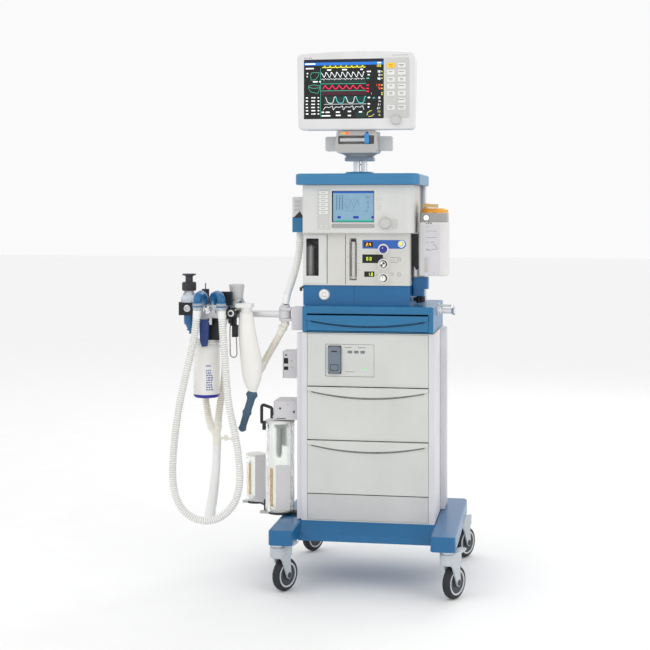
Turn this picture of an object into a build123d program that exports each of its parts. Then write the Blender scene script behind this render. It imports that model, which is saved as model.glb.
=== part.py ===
from build123d import *
import math
import os

# An anesthesia machine on four swivel casters. Millimetres; X to the right as seen from
# the front, Y to the rear, Z up. The cart is drawn about the middle of its casters, and
# write_pieces() moves everything so that the origin is the middle of the whole footprint.

# ---------------------------------------------------------------- driving dimensions
SHEET = 3.0                      # sheet-metal and moulding wall
GAP = 1.0                        # gap between a moving piece and what it moves past
RUNNING = 0.06                   # radial clearance of a shaft in its bore

STEM_X, STEM_Y = 258.0, 249.0    # caster stems
CASTER_H = 150.0                 # floor to the foot's underside
WHEEL_R, WHEEL_HALF = 50.0, 13.0
TRAIL, TRAIL_TURN = 34.0, 60.0   # wheel behind the stem, and the way it trails
AXLE_R = 4.0
STEM_R = 5.5

FOOT_X = (208.0, 283.0)
FOOT_Y = (-279.0, 285.0)
BASE_TOP = 195.0

CAB_X = 208.0                    # cabinet half width
CAB_Y = (-122.0, 235.0)
CAB_TOP = 781.0
BAY_X = 190.0                    # half width of the drawer bay
KICK_TOP, BAY_MID, BAY_TOP = 279.0, 446.5, 613.5
DRAWER_GAP = 1.5
TRAY_X = 180.0
TRAY_BACK = 205.0

WORK_X = 205.0
WORK_Y = (-128.0, 238.0)
WORK_Z = (784.0, 864.0)
WORK_DRAWER_Z = (788.0, 836.0)

PLINTH_X = (-208.0, 129.0)
PLINTH_Z = (864.0, 928.0)
UPPER_FRONT, UPPER_BACK = -95.0, 180.0
BUTTON_X, BUTTON_Z, BUTTON_R = -140.0, 898.0, 15.0

GAS_Z = (928.0, 1090.0)
GAS_FRONT = -100.0
DOOR_X = (-207.0, -131.5)
COVER_X = (-129.0, -73.0)
FLOW_X = (-71.0, 129.0)
COVER_THICK = 8.0
FLOW_KNOB_X = 47.0
FLOW_KNOBS = {"oxygen": 1041.0, "nitrous": 995.0, "air": 951.0}

DISPLAY_X = (-206.0, 142.0)
DISPLAY_Y = (-120.0, 90.0)
DISPLAY_Z = (1091.0, 1241.0)
SCREEN_X, SCREEN_Z = (-112.0, 21.0), (1125.0, 1223.0)
DIAL_X, DIAL_Z = 56.0, 1122.0

SHELF_X = (-227.0, 163.0)
SHELF_Y = (-140.0, 205.0)
SHELF_Z = (1242.0, 1277.0)
MAST_X, MAST_Y = -38.0, -20.0

MON_X = (-223.0, 147.0)
MON_Z = (1413.0, 1657.0)
MON_FRONT, MON_SPLIT, MON_BACK = -120.0, -95.0, 42.0
TILT_Y, TILT_Z = 14.0, 1407.0
MON_SCREEN_X, MON_SCREEN_Z = (-201.0, 51.0), (1447.0, 1633.0)
MON_KNOB_X, MON_KNOB_Z = 89.0, 1441.0

VAP_X = (152.0, 243.0)
VAP_Y = (-62.0, 45.0)
VAP_AXIS = (198.0, -9.0)
LEVER_AXIS = (166.0, 56.0)

PIVOT_X, PIVOT_Y = -272.0, -62.0     # vertical pivot of the breathing arm
ARM_Z = 832.5
BAG_Y = -112.0
PORT_Y, PORT_Z = -156.0, 862.0       # mouths of the two circuit ports
PORT_X = (-534.0, -457.0)
CANISTER_X, CANISTER_Y, CANISTER_R = -524.0, -80.0, 41.5
HANDLE_Y, HANDLE_Z = -132.0, 811.0     # pivot of the absorber's release handle
APL_X, SELECT_X, SELECT_Y = -581.5, -427.0, -72.0
LIMB_X, LIMB_Y = (-545.0, -486.0), -22.0

HOSE_R, LIMB_R, PATIENT_R = 12.5, 12.5, 16.0
VENT_R, VENT_RIBBED_R, SAMPLE_R = 12.0, 12.0, 1.6

# ---------------------------------------------------------------- hose and line routes
CIRCUIT_ROUTE = [
    (-534, -156, 861), (-539, -157, 790), (-553, -158, 720), (-570, -159, 650),
    (-588, -160, 570), (-603, -161, 478), (-612, -162, 385), (-613, -163, 308),
    (-599, -163, 246), (-563, -162, 202), (-507, -161, 185), (-452, -160, 202),
    (-412, -159, 246), (-396, -159, 306), (-398, -159, 368), (-406, -158, 430),
    (-419, -158, 492), (-433, -158, 556), (-440, -157, 622), (-445, -157, 700),
    (-453, -156, 782), (-457, -156, 861),
]
LIMB_LEFT_ROUTE = [
    (-545, -22, 789), (-549, -22, 708), (-550, -21, 630), (-544, -21, 566),
    (-537, -22, 516), (-527, -24, 470),
]
LIMB_RIGHT_ROUTE = [
    (-486, -22, 789), (-479, -22, 708), (-478, -21, 632), (-488, -21, 571),
    (-497, -22, 519), (-501, -24, 470),
]
PATIENT_ROUTE = [
    (-504, -24, 412), (-505, -25, 352), (-510, -27, 292), (-517, -30, 232), (-527, -33, 172),
]
VENT_UPPER_ROUTE = [
    (-231, -20, 1092), (-232, -21, 1045), (-240, -28, 990), (-254, -42, 935),
    (-267, -56, 895), (-272, -62, 864),
]
VENT_LOWER_ROUTE = [
    (-281, -61, 786), (-293, -57, 762), (-307.5, -50, 738.5), (-323, -42, 714),
    (-338, -35.5, 689), (-352, -31, 664),
]
SAMPLE_ROUTE = [
    (-435, -128, 805), (-436, -128, 779), (-435.6, -128, 752), (-435.1, -128, 725), (-435, -128, 706.4),
    (-428.6, -128, 700), (-419.4, -128, 700), (-413, -128, 706.4), (-413.6, -127, 724),
    (-415, -125, 743), (-416.5, -122, 762),
]
TAIL_ROUTE = [(-367, -112, 592), (-370.5, -112, 568), (-381, -111, 538), (-403, -110, 464)]

PIECES = {}


# ---------------------------------------------------------------- shaping helpers
def middle(span):
    return (span[0] + span[1]) / 2


def reach(span):
    return abs(span[1] - span[0])


def grown(span, by):
    """The same span, longer by the given amount at both ends."""
    return (span[0] - by, span[1] + by)


def block(x, y, z, mode=Mode.ADD):
    """Plain box given by its three spans."""
    with Locations((middle(x), middle(y), middle(z))):
        Box(reach(x), reach(y), reach(z), mode=mode)


def front_plate(x, y, z, radius, mode=Mode.ADD):
    """Box whose corners are rounded as seen from the front."""
    with BuildSketch(Plane.XZ.offset(-y[1])) as outline:
        with Locations((middle(x), middle(z))):
            RectangleRounded(reach(x), reach(z), radius)
    extrude(outline.sketch, amount=reach(y), mode=mode)


def top_plate(x, y, z, radius, mode=Mode.ADD):
    """Box whose corners are rounded as seen from above."""
    with BuildSketch(Plane.XY.offset(z[0])) as outline:
        with Locations((middle(x), middle(y))):
            RectangleRounded(reach(x), reach(y), radius)
    extrude(outline.sketch, amount=reach(z), mode=mode)


def rod(start, end, radius, mode=Mode.ADD):
    """Round bar or hole from one point to another."""
    line = Vector(*end) - Vector(*start)
    with BuildSketch(Plane(origin=start, z_dir=line)) as section:
        Circle(radius)
    extrude(section.sketch, amount=line.length, mode=mode)


def ring(start, end, outer, inner):
    """Round tube from one point to another."""
    line = Vector(*end) - Vector(*start)
    with BuildSketch(Plane(origin=start, z_dir=line)) as section:
        Circle(outer)
        Circle(inner, mode=Mode.SUBTRACT)
    extrude(section.sketch, amount=line.length)


def turned(origin, direction, stations, mode=Mode.ADD):
    """Turned shape: stations are (distance along the axis, radius)."""
    lathe = Plane(origin=origin, z_dir=direction)
    outline = [(radius, along) for along, radius in stations]
    outline = [(0, stations[0][0])] + outline + [(0, stations[-1][0])]
    with BuildSketch(Plane(origin=origin, x_dir=lathe.x_dir, z_dir=-lathe.y_dir)) as profile:
        with BuildLine():
            Polyline(*outline, close=True)
        make_face()
    revolve(profile.sketch, axis=Axis(origin, direction), mode=mode)


def corner_radii(route):
    """The largest arc that each corner of a hose's route has room for."""
    radii = []
    for before, corner, after in zip(route, route[1:], route[2:]):
        arriving = Vector(*corner) - Vector(*before)
        leaving = Vector(*after) - Vector(*corner)
        half_turn = math.radians(arriving.get_angle(leaving)) / 2
        radii.append(0.45 * min(arriving.length, leaving.length) / math.tan(half_turn))
    return radii


def pipe(route, radius, radii=None):
    """Round bar along straight runs joined by tangent arcs."""
    with BuildLine() as path:
        FilletPolyline(*route, radius=radii or corner_radii(route))
    centreline = path.wires()[0]
    with BuildSketch(Plane(origin=centreline @ 0, z_dir=centreline % 0)) as section:
        Circle(radius)
    sweep(section.sketch, path=centreline)
    return centreline.length


def keep(builder, name):
    """Labels a finished piece and keeps it for writing."""
    builder.part.label = name
    PIECES[name] = builder.part


# ---------------------------------------------------------------- base and casters
def make_base():
    with BuildPart() as base_frame:
        for side in (-1, 1):
            span = tuple(sorted((side * FOOT_X[0], side * FOOT_X[1])))
            top_plate(span, FOOT_Y, (CASTER_H, BASE_TOP), 16)
        fillet(base_frame.edges().group_by(Axis.Z)[-1], 6)
        with BuildSketch(Plane.YZ.offset(-FOOT_X[0])):
            with BuildLine():
                Polyline((-182, 145.5), (-182, 166), (-122, BASE_TOP), (235, BASE_TOP), (235, 145.5), close=True)
            make_face()
        extrude(amount=2 * FOOT_X[0])
        with BuildSketch(Plane.YZ.offset(-FOOT_X[0] + 2 * SHEET)):
            with BuildLine():
                Polyline((-178, 141), (-178, 163), (-120, 190), (230, 190), (230, 141), close=True)
            make_face()
        extrude(amount=2 * (FOOT_X[0] - 2 * SHEET), mode=Mode.SUBTRACT)
        for side in (-1, 1):
            hollow = tuple(sorted((side * (FOOT_X[0] + 5), side * (FOOT_X[1] - 5))))
            block(hollow, (-222, 222), (CASTER_H, BASE_TOP - 5), mode=Mode.SUBTRACT)
            for end in (-1, 1):
                foot = (side * STEM_X, end * STEM_Y, CASTER_H)
                rod(foot, (foot[0], foot[1], CASTER_H + 40), STEM_R + RUNNING, mode=Mode.SUBTRACT)
    keep(base_frame, "base_frame")


def fork_leg(side):
    """One side of the fork, drawn in the wheel's plane."""
    inner = WHEEL_HALF + GAP
    outer = inner + 5
    height = CASTER_H - 8
    start = inner if side > 0 else -outer
    with BuildSketch(Plane.XZ.offset(-start)) as leg:
        with BuildLine():
            Polyline((-14, height), (-14, 114), (3, 98), (TRAIL - 9, 44), (TRAIL + 9, 44),
                     (TRAIL + 5, 98), (TRAIL + 9, 116), (TRAIL + 12, height), close=True)
        make_face()
        with Locations((TRAIL, WHEEL_R)):
            Circle(11)
    extrude(leg.sketch, amount=-(outer - inner))


def make_casters():
    with BuildPart() as fork_shape:
        for side in (-1, 1):
            fork_leg(side)
        block((-14, TRAIL + 12), (-WHEEL_HALF - 6, WHEEL_HALF + 6), (CASTER_H - 40, CASTER_H - 8))
        turned((0, 0, CASTER_H - 43), (0, 0, 1), [(0, 19), (4, 23), (31, 23), (35, 20)])
        rod((TRAIL, -40, WHEEL_R), (TRAIL, 40, WHEEL_R), WHEEL_R + 4.5, mode=Mode.SUBTRACT)
        for side in (-1, 1):
            fork_leg(side)
        block((TRAIL - 14, TRAIL + 60), (-11, 11), (CASTER_H - 30, CASTER_H), mode=Mode.SUBTRACT)
        rod((0, 0, CASTER_H - 8), (0, 0, CASTER_H - 1), 19)
        rod((0, 0, CASTER_H - 2), (0, 0, CASTER_H + 38), STEM_R)
        rod((TRAIL, -WHEEL_HALF - 6, WHEEL_R), (TRAIL, WHEEL_HALF + 6, WHEEL_R), AXLE_R)
        rod((30, -19, CASTER_H - 12), (30, 19, CASTER_H - 12), 2)

    with BuildPart() as wheel_shape:
        with BuildSketch(Plane.XY):
            with BuildLine():
                Polyline((0, -9), (14, -9), (14, -12.5), (36, -12.5), (42, -12), (47, -10), (WHEEL_R, -4),
                         (WHEEL_R, 4), (47, 10), (42, 12), (36, 12.5), (14, 12.5), (14, 9), (0, 9), close=True)
            make_face()
        revolve(axis=Axis.Y)
        for side in (-1, 1):
            ring((0, side * 9, 0), (0, side * WHEEL_HALF, 0), 11, AXLE_R + RUNNING)
            with BuildSketch(Plane.XZ.offset(side * 10)):
                Circle(33)
                Circle(17, mode=Mode.SUBTRACT)
            extrude(amount=side * 5, mode=Mode.SUBTRACT)
        rod((0, -20, 0), (0, 20, 0), AXLE_R + RUNNING, mode=Mode.SUBTRACT)

    with BuildPart() as pedal_shape:
        with BuildSketch(Plane.XZ.offset(-10)):
            with BuildLine():
                Polyline((24, 133), (36, 131.5), (70, 133), (84, 137), (87, 140.5), (84, 143.5), (30, 143),
                         (24, 141), close=True)
            make_face()
        extrude(amount=20)
        rod((30, -20, CASTER_H - 12), (30, 20, CASTER_H - 12), 2 + RUNNING, mode=Mode.SUBTRACT)

    for end, y in (("front", -STEM_Y), ("rear", STEM_Y)):
        for side, x in (("left", -STEM_X), ("right", STEM_X)):
            corner = Location((x, y, 0), (0, 0, TRAIL_TURN))
            with BuildPart() as caster_fork:
                with Locations(corner):
                    add(fork_shape.part)
            keep(caster_fork, f"caster_fork_{end}_{side}")
            with BuildPart() as caster_wheel:
                with Locations(corner * Location((TRAIL, 0, WHEEL_R))):
                    add(wheel_shape.part)
            keep(caster_wheel, f"caster_wheel_{end}_{side}")
            if end == "front":
                with BuildPart() as brake_pedal:
                    with Locations(corner):
                        add(pedal_shape.part)
                keep(brake_pedal, f"brake_pedal_{side}")


# ---------------------------------------------------------------- cabinet and drawers
def make_cabinet():
    with BuildPart() as cabinet_shell:
        block((-CAB_X, CAB_X), CAB_Y, (BASE_TOP, CAB_TOP))
        block((-CAB_X + SHEET, CAB_X - SHEET), (-102, CAB_Y[1] - SHEET),
              (BASE_TOP + SHEET, CAB_TOP - SHEET), mode=Mode.SUBTRACT)
        block((-BAY_X, BAY_X), (-130, -100), (BASE_TOP + SHEET, CAB_TOP - SHEET), mode=Mode.SUBTRACT)
        for height in (KICK_TOP, BAY_MID, BAY_TOP):
            block((-CAB_X + 1, CAB_X - 1), (-100, -86), (height - 5, height + 5))
        for side in (-1, 1):
            for floor in (KICK_TOP, BAY_MID):
                wall = tuple(sorted((side * (TRAY_X + 2), side * (CAB_X - 1))))
                block(wall, (-98, 200), (floor + 60, floor + 64))
                block(wall, (-98, 200), (floor + 96, floor + 100))
        for level in range(6):
            block((-90, 90), (200, 260), (620 + 18 * level, 627 + 18 * level), mode=Mode.SUBTRACT)
    keep(cabinet_shell, "cabinet_shell")

    with BuildPart() as front_panels:
        block((-BAY_X + GAP, BAY_X - GAP), (-121, -117), (BASE_TOP + SHEET + GAP, KICK_TOP - DRAWER_GAP))
        for side in (-1, 1):
            edge = tuple(sorted((side * (BAY_X - GAP), side * (BAY_X - GAP - SHEET))))
            block(edge, (-118, -100), (BASE_TOP + SHEET + GAP, KICK_TOP - DRAWER_GAP))
            block(edge, (-118, -100), (BAY_TOP + DRAWER_GAP, CAB_TOP - SHEET - GAP))
        block((-BAY_X + GAP, BAY_X - GAP), (-121, -117), (BAY_TOP + DRAWER_GAP, CAB_TOP - SHEET - GAP))
        front_plate((-132, 21), (-130, -110), (645, 746), 3, mode=Mode.SUBTRACT)
    keep(front_panels, "front_panels")

    with BuildPart() as gas_module:
        front_plate((-131, 20), (-119.5, -116), (646, 745), 3)
        block((-125, 14), (-116.5, 30), (650, 741))
        front_plate((-124, -82), (-125, -92), (653, 741), 4, mode=Mode.SUBTRACT)
        rod((-8, -121, 671), (-8, -116, 671), 2.5)
        for key in range(3):
            front_plate((-62 + 20 * key, -48 + 20 * key), (-120.5, -118), (718, 726), 2)
    keep(gas_module, "gas_module")

    with BuildPart() as water_trap:
        front_plate((-122.5, -83.5), (-131, -93), (654.5, 739.5), 7)
        fillet(water_trap.faces().sort_by(Axis.Y)[0].edges(), 5)
    keep(water_trap, "water_trap")

    with BuildPart() as rear_panel:
        front_plate((-185, 185), (CAB_Y[1], CAB_Y[1] + 4), (215, 600), 8)
        front_plate((-60, 60), (CAB_Y[1] + 4, CAB_Y[1] + 8), (360, 480), 5)
        for column in (-130, -90, 90, 130):
            for row in range(8):
                front_plate((column - 14, column + 14), (CAB_Y[1], CAB_Y[1] + 10),
                            (250 + 14 * row, 256 + 14 * row), 2.5, mode=Mode.SUBTRACT)
        block((-40, 40), (CAB_Y[1] + 8, CAB_Y[1] + 16), (400, 440))
        block((-28, 28), (CAB_Y[1] + 10, CAB_Y[1] + 20), (406, 434), mode=Mode.SUBTRACT)
        for step in (-1, 0, 1):
            turned((step * 60, CAB_Y[1] + 4, 545), (0, 1, 0), [(0, 16), (6, 16), (6, 11), (12, 11), (12, 8), (30, 8)])
            rod((step * 60, CAB_Y[1] + 14, 545), (step * 60, CAB_Y[1] + 40, 545), 4, mode=Mode.SUBTRACT)
    keep(rear_panel, "rear_panel")


def grip_outline(half_width, top, side_drop, middle_drop):
    """Closed outline, straight along the top and bowed down in the middle."""
    with BuildLine() as outline:
        Line((-half_width, top), (half_width, top))
        Line((half_width, top), (half_width, top - side_drop))
        ThreePointArc((half_width, top - side_drop), (0, top - middle_drop), (-half_width, top - side_drop))
        Line((-half_width, top - side_drop), (-half_width, top))
    make_face(outline.edges())


def drawer(name, front_x, front_y, front_z, tray_x, tray_z, tray_back, side_drop, middle_drop):
    """Drawer: front panel with a bowed grip lip, and an open tray behind it."""
    proud, lip = 7, 5
    with BuildPart() as piece:
        front_plate((-front_x, front_x), (front_y, front_y + 18), front_z, 2)
        with BuildSketch(Plane.XZ.offset(-front_y)):
            grip_outline(front_x, front_z[1], side_drop, middle_drop)
        extrude(amount=proud)
        with BuildSketch(Plane.XZ.offset(-front_y - 10)):
            grip_outline(front_x - 12, front_z[1] - lip - 2, side_drop, middle_drop)
        extrude(amount=proud + 7, mode=Mode.SUBTRACT)
        block((-tray_x, tray_x), (front_y + 17, tray_back), tray_z)
        block((-tray_x + 2, tray_x - 2), (front_y + 18, tray_back - 2), (tray_z[0] + 2, tray_z[1] + 20),
              mode=Mode.SUBTRACT)
        if name != "worktop_drawer":
            for side in (-1, 1):
                rail = tuple(sorted((side * (tray_x - 1), side * (BAY_X - GAP - 1))))
                block(rail, (-100, tray_back - 4), (tray_z[0] + 56, tray_z[0] + 84))
    keep(piece, name)


def make_drawers():
    for name, floor, top in (("lower_drawer", KICK_TOP, BAY_MID), ("upper_drawer", BAY_MID, BAY_TOP)):
        drawer(name, BAY_X - GAP, CAB_Y[0], (floor + DRAWER_GAP, top - DRAWER_GAP), TRAY_X,
               (floor + 10, top - 20), TRAY_BACK, 10, 30)
    drawer("worktop_drawer", BAY_X - GAP, WORK_Y[0], WORK_DRAWER_Z, 184, (790, 828), 195, 14, 31)


def make_side_rails():
    with BuildPart() as side_rails:
        for side in (-1, 1):
            rail = tuple(sorted((side * (CAB_X + 0.5), side * (CAB_X + 15))))
            slot = tuple(sorted((side * (CAB_X + 11), side * (CAB_X + 20))))
            front_y = (-116, -92) if side < 0 else (96, 120)
            block(rail, front_y, (BASE_TOP + 2, 779))
            block(slot, (middle(front_y) - 4, middle(front_y) + 4), (BASE_TOP + 2, 779), mode=Mode.SUBTRACT)
            second = (150, 174) if side < 0 else (150, 200)
            block(rail, second, (BASE_TOP + 2, 779))
            block(slot, (middle(second) - 4, middle(second) + 4), (BASE_TOP + 2, 779), mode=Mode.SUBTRACT)
        for column in ((-230, -209), (132, 154)):
            block(column, (150, 200), (WORK_Z[1], SHELF_Z[0]))
            block((middle(column) - 4, middle(column) + 4), (145, 158), (WORK_Z[1], SHELF_Z[0]), mode=Mode.SUBTRACT)
        for column in ((-230, -209),):
            block(column, (150, 200), (WORK_Z[1] - 40, WORK_Z[1]))
        block((129, 133), (160, 178), (PLINTH_Z[0] + 10, DISPLAY_Z[0]))
        turned((WORK_X, 0, 845), (1, 0, 0), [(0, 15), (5, 15), (5, 9), (46, 9), (52, 13), (58, 14), (58, 9)])
        turned((WORK_X, 0, 845), (1, 0, 0), [(40, 6), (58, 6)], mode=Mode.SUBTRACT)
        rod((WORK_X, 46, 858), (256, 46, 858), 4)
        rod((250, 0, 850), (250, 48, 859), 4)
        rod((WORK_X, 46, 845), (WORK_X + 5, 46, 845), 12)
        block((WORK_X, WORK_X + 5), (36, 56), (840, 866))
    keep(side_rails, "side_rails")


# ---------------------------------------------------------------- worktop and upper unit
def make_worktop():
    with BuildPart() as worktop:
        top_plate((-WORK_X, WORK_X), WORK_Y, WORK_Z, 6)
        fillet(worktop.faces().sort_by(Axis.Z)[-1].edges(), 4)
        block((-BAY_X, BAY_X), (-140, 215), (WORK_DRAWER_Z[0] - 1, WORK_DRAWER_Z[1] + 5), mode=Mode.SUBTRACT)
        block((-184 - GAP - 4, 184 + GAP + 4), (-140, 215), (WORK_Z[0] + 2, WORK_DRAWER_Z[0]), mode=Mode.SUBTRACT)
        block((-120, 120), (-80, 80), (CAB_TOP, WORK_Z[0]))
        block((-120, 120), (120, 200), (CAB_TOP, WORK_Z[0]))
        block((-150, 150), (-60, 190), (CAB_TOP, WORK_Z[0] + 2))
    keep(worktop, "worktop")


def make_plinth():
    with BuildPart() as plinth_housing:
        top_plate(PLINTH_X, (UPPER_FRONT, UPPER_BACK), PLINTH_Z, 4)
        block(grown(PLINTH_X, -SHEET), (UPPER_FRONT + SHEET, UPPER_BACK - SHEET),
              grown(PLINTH_Z, -SHEET), mode=Mode.SUBTRACT)
        block((-46, -44.5), (UPPER_FRONT - 1, UPPER_FRONT + 1.2), (PLINTH_Z[0] + 3, PLINTH_Z[1]), mode=Mode.SUBTRACT)
        rod((BUTTON_X, -110, BUTTON_Z), (BUTTON_X, -80, BUTTON_Z), BUTTON_R + 0.6, mode=Mode.SUBTRACT)
        block((-214, PLINTH_X[0]), (-88, -80), (916, 924))
        block((-220, -213), (-88, -80), (908, 920))
    keep(plinth_housing, "plinth_housing")

    with BuildPart() as flush_button:
        turned((BUTTON_X, UPPER_FRONT + 9, BUTTON_Z), (0, -1, 0),
               [(0, BUTTON_R), (14, BUTTON_R), (16, BUTTON_R - 1.5), (16, 10), (15, 8)])
        rod((BUTTON_X, UPPER_FRONT + 9, BUTTON_Z), (BUTTON_X, UPPER_FRONT + 30, BUTTON_Z), 4)
    keep(flush_button, "flush_button")


def make_gas_unit():
    cover_back = GAS_FRONT + COVER_THICK
    with BuildPart() as gas_chassis:
        block(PLINTH_X, (GAS_FRONT, UPPER_BACK), (GAS_Z[0], GAS_Z[0] + 4))
        block(PLINTH_X, (GAS_FRONT, UPPER_BACK), (GAS_Z[1] - 3, GAS_Z[1] + 1))
        block(PLINTH_X, (UPPER_BACK - SHEET, UPPER_BACK), GAS_Z)
        for wall in ((PLINTH_X[0], PLINTH_X[0] + SHEET), (-131.5, -128.5), (-73.5, -70.5),
                     (PLINTH_X[1] - SHEET, PLINTH_X[1])):
            block(wall, (cover_back + 0.5, UPPER_BACK), GAS_Z)
        block(COVER_X, (GAS_FRONT, cover_back), (GAS_Z[0] + 4, GAS_Z[1] - 3))
        block(COVER_X, (cover_back, cover_back + 2), (GAS_Z[0] + 4, GAS_Z[1] - 3))
        hinge_x, hinge_y = DOOR_X[0] + 4, GAS_FRONT + 4
        rod((hinge_x, hinge_y, GAS_Z[0] + 1), (hinge_x, hinge_y, GAS_Z[1]), 2 + RUNNING, mode=Mode.SUBTRACT)
        for row in range(7):
            front_plate((-60, 60), (UPPER_BACK - 6, UPPER_BACK + 2), (960 + 14 * row, 966 + 14 * row), 2.5,
                        mode=Mode.SUBTRACT)
    keep(gas_chassis, "gas_chassis")

    door_z = (GAS_Z[0] + 4.5, GAS_Z[1] - 3.5)
    with BuildPart() as ventilator_door:
        block((hinge_x, DOOR_X[1]), (GAS_FRONT, cover_back), door_z)
        rod((hinge_x, hinge_y, door_z[0]), (hinge_x, hinge_y, door_z[1]), 4)
        rod((hinge_x, hinge_y, GAS_Z[0] + 1.5), (hinge_x, hinge_y, GAS_Z[1] - 0.5), 2)
        front_plate((-197, -157), (GAS_FRONT - 2, cover_back + 2), (957, 1074), 1.5, mode=Mode.SUBTRACT)
    keep(ventilator_door, "ventilator_door")

    with BuildPart() as ventilator_unit:
        block((-204, -134), (-40, 150), (GAS_Z[0] + 4, 1075))
        turned((-190, -62, GAS_Z[0] + 4), (0, 0, 1), [(0, 14.5), (10, 14.5), (10, 12), (112, 12), (112, 14.5), (124, 14.5)])
        block((-204, -134), (-60, -38), (GAS_Z[0] + 4, 952))
        rod((-160, -58, 952), (-160, -58, 1070), 5)
    keep(ventilator_unit, "ventilator_unit")

    with BuildPart() as flow_panel:
        block(FLOW_X, (GAS_FRONT, cover_back), (GAS_Z[0] + 4, GAS_Z[1] - 3))
        front_plate((-60, -36), (GAS_FRONT - 2, cover_back + 2), (944, 1075), 3, mode=Mode.SUBTRACT)
        for height in FLOW_KNOBS.values():
            ring((FLOW_KNOB_X, GAS_FRONT, height), (FLOW_KNOB_X, GAS_FRONT - 3, height), 17, 12.5)
            rod((FLOW_KNOB_X, -120, height), (FLOW_KNOB_X, -80, height), 3 + RUNNING, mode=Mode.SUBTRACT)
        rod((102, GAS_FRONT - 2.5, 1058), (102, GAS_FRONT, 1058), 9)
        block((-66, -30), (cover_back, cover_back + 12), (946, 956))
        block((-66, -30), (cover_back, cover_back + 12), (1064, 1074))
        ring((-48, -88, 956), (-48, -88, 1064), 7, 5)
        rod((-48, -88, 1018), (-48, -88, 1030), 4)
    keep(flow_panel, "flow_panel")

    for gas, height in FLOW_KNOBS.items():
        with BuildPart() as flow_knob:
            turned((FLOW_KNOB_X, GAS_FRONT - 1, height), (0, -1, 0), [(0, 11), (17, 10), (20, 8.5), (20, 0.1)])
            with BuildSketch(Plane(origin=(FLOW_KNOB_X, GAS_FRONT - 4, height), z_dir=(0, -1, 0))):
                with PolarLocations(11.2, 12):
                    Circle(1.3)
            extrude(amount=20, mode=Mode.SUBTRACT)
            rod((FLOW_KNOB_X, GAS_FRONT - 1, height), (FLOW_KNOB_X, cover_back + 6, height), 3)
        keep(flow_knob, f"flow_knob_{gas}")


def make_display():
    with BuildPart() as display_housing:
        with BuildSketch(Plane.XY.offset(DISPLAY_Z[0])):
            with BuildLine():
                left, right = DISPLAY_X
                near, far = DISPLAY_Y
                FilletPolyline((left, near), (right, near), (right, far), (left, far), radius=[9, 24, 4, 4], close=True)
            make_face()
        extrude(amount=reach(DISPLAY_Z))
        fillet(display_housing.faces().sort_by(Axis.Z)[0].edges().sort_by(Axis.Y)[0], 3)
        block(grown(DISPLAY_X, -6), (DISPLAY_Y[0] + 12, DISPLAY_Y[1] - SHEET), grown(DISPLAY_Z, -SHEET),
              mode=Mode.SUBTRACT)
        front_plate(SCREEN_X, (DISPLAY_Y[0] - 1, DISPLAY_Y[0] + 4), SCREEN_Z, 2, mode=Mode.SUBTRACT)
        front_plate(grown(SCREEN_X, -1), (DISPLAY_Y[0] - 1.2, DISPLAY_Y[0] + 1), (1107, 1121), 2)
        front_plate((-158, -118), (DISPLAY_Y[0] - 0.8, DISPLAY_Y[0] + 1), (1103, 1228), 3)
        for row in range(6):
            front_plate((-152, -124), (DISPLAY_Y[0] - 2, DISPLAY_Y[0]), (1151 + 12.4 * row, 1160 + 12.4 * row), 2)
        for column in (-148, -131):
            front_plate((column, column + 5), (DISPLAY_Y[0] - 2, DISPLAY_Y[0]), (1107, 1116), 1.5)
        for height in (1173, 1193):
            rod((36, DISPLAY_Y[0] - 2, height), (36, DISPLAY_Y[0], height), 5)
        front_plate((77, 93), (DISPLAY_Y[0] - 1, DISPLAY_Y[0]), (1105, 1136), 2)
        rod((DIAL_X, -140, DIAL_Z), (DIAL_X, -100, DIAL_Z), 4 + RUNNING, mode=Mode.SUBTRACT)
    keep(display_housing, "display_housing")

    with BuildPart() as display_knob:
        turned((DIAL_X, DISPLAY_Y[0] - 1, DIAL_Z), (0, -1, 0), [(0, 17), (14, 16), (18, 13.5), (18, 9), (17, 7)])
        with BuildSketch(Plane(origin=(DIAL_X, DISPLAY_Y[0] - 4, DIAL_Z), z_dir=(0, -1, 0))):
            with PolarLocations(17.3, 20):
                Circle(1.3)
        extrude(amount=18, mode=Mode.SUBTRACT)
        rod((DIAL_X, DISPLAY_Y[0] - 1, DIAL_Z), (DIAL_X, DISPLAY_Y[0] + 14, DIAL_Z), 4)
    keep(display_knob, "display_knob")

    with BuildPart() as top_shelf:
        top_plate(SHELF_X, SHELF_Y, SHELF_Z, 26)
        fillet(top_shelf.faces().sort_by(Axis.Z)[-1].edges(), 7)
        fillet(top_shelf.faces().sort_by(Axis.Z)[0].edges(), 3)
        turned((MAST_X, MAST_Y, SHELF_Z[1] - 1), (0, 0, 1), [(0, 50), (1, 50), (5, 47), (8, 45)])
    keep(top_shelf, "top_shelf")

    with BuildPart() as side_module:
        top_plate((-250, -206), (-62, 22), (1093, 1205), 7)
        fillet(side_module.faces().sort_by(Axis.Z)[-1].edges().group_by(Axis.X)[0], 3)
        ring((-231, -20, 1093), (-231, -20, 1101), 13, 10)
        block((-252, -204), (-64, 24), (1139, 1141), mode=Mode.SUBTRACT)
        block((-248, -208), (-60, 20), (1138, 1142))
        for row in range(3):
            front_plate((-242, -222), (-63.2, -61), (1160 + 13 * row, 1168 + 13 * row), 2)
    keep(side_module, "side_module")


# ---------------------------------------------------------------- monitor
def monitor_outline(inset):
    left, right = MON_X[0] + inset, MON_X[1] - inset
    low, high = MON_Z[0] + inset, MON_Z[1] - inset
    with BuildLine() as outline:
        Line((left + 4, low), (right - 4, low))
        Line((right - 4, low), (right, high - 8))
        ThreePointArc((right, high - 8), (middle(MON_X), high), (left, high - 8))
        Line((left, high - 8), (left + 4, low))
    make_face(outline.edges())


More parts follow.
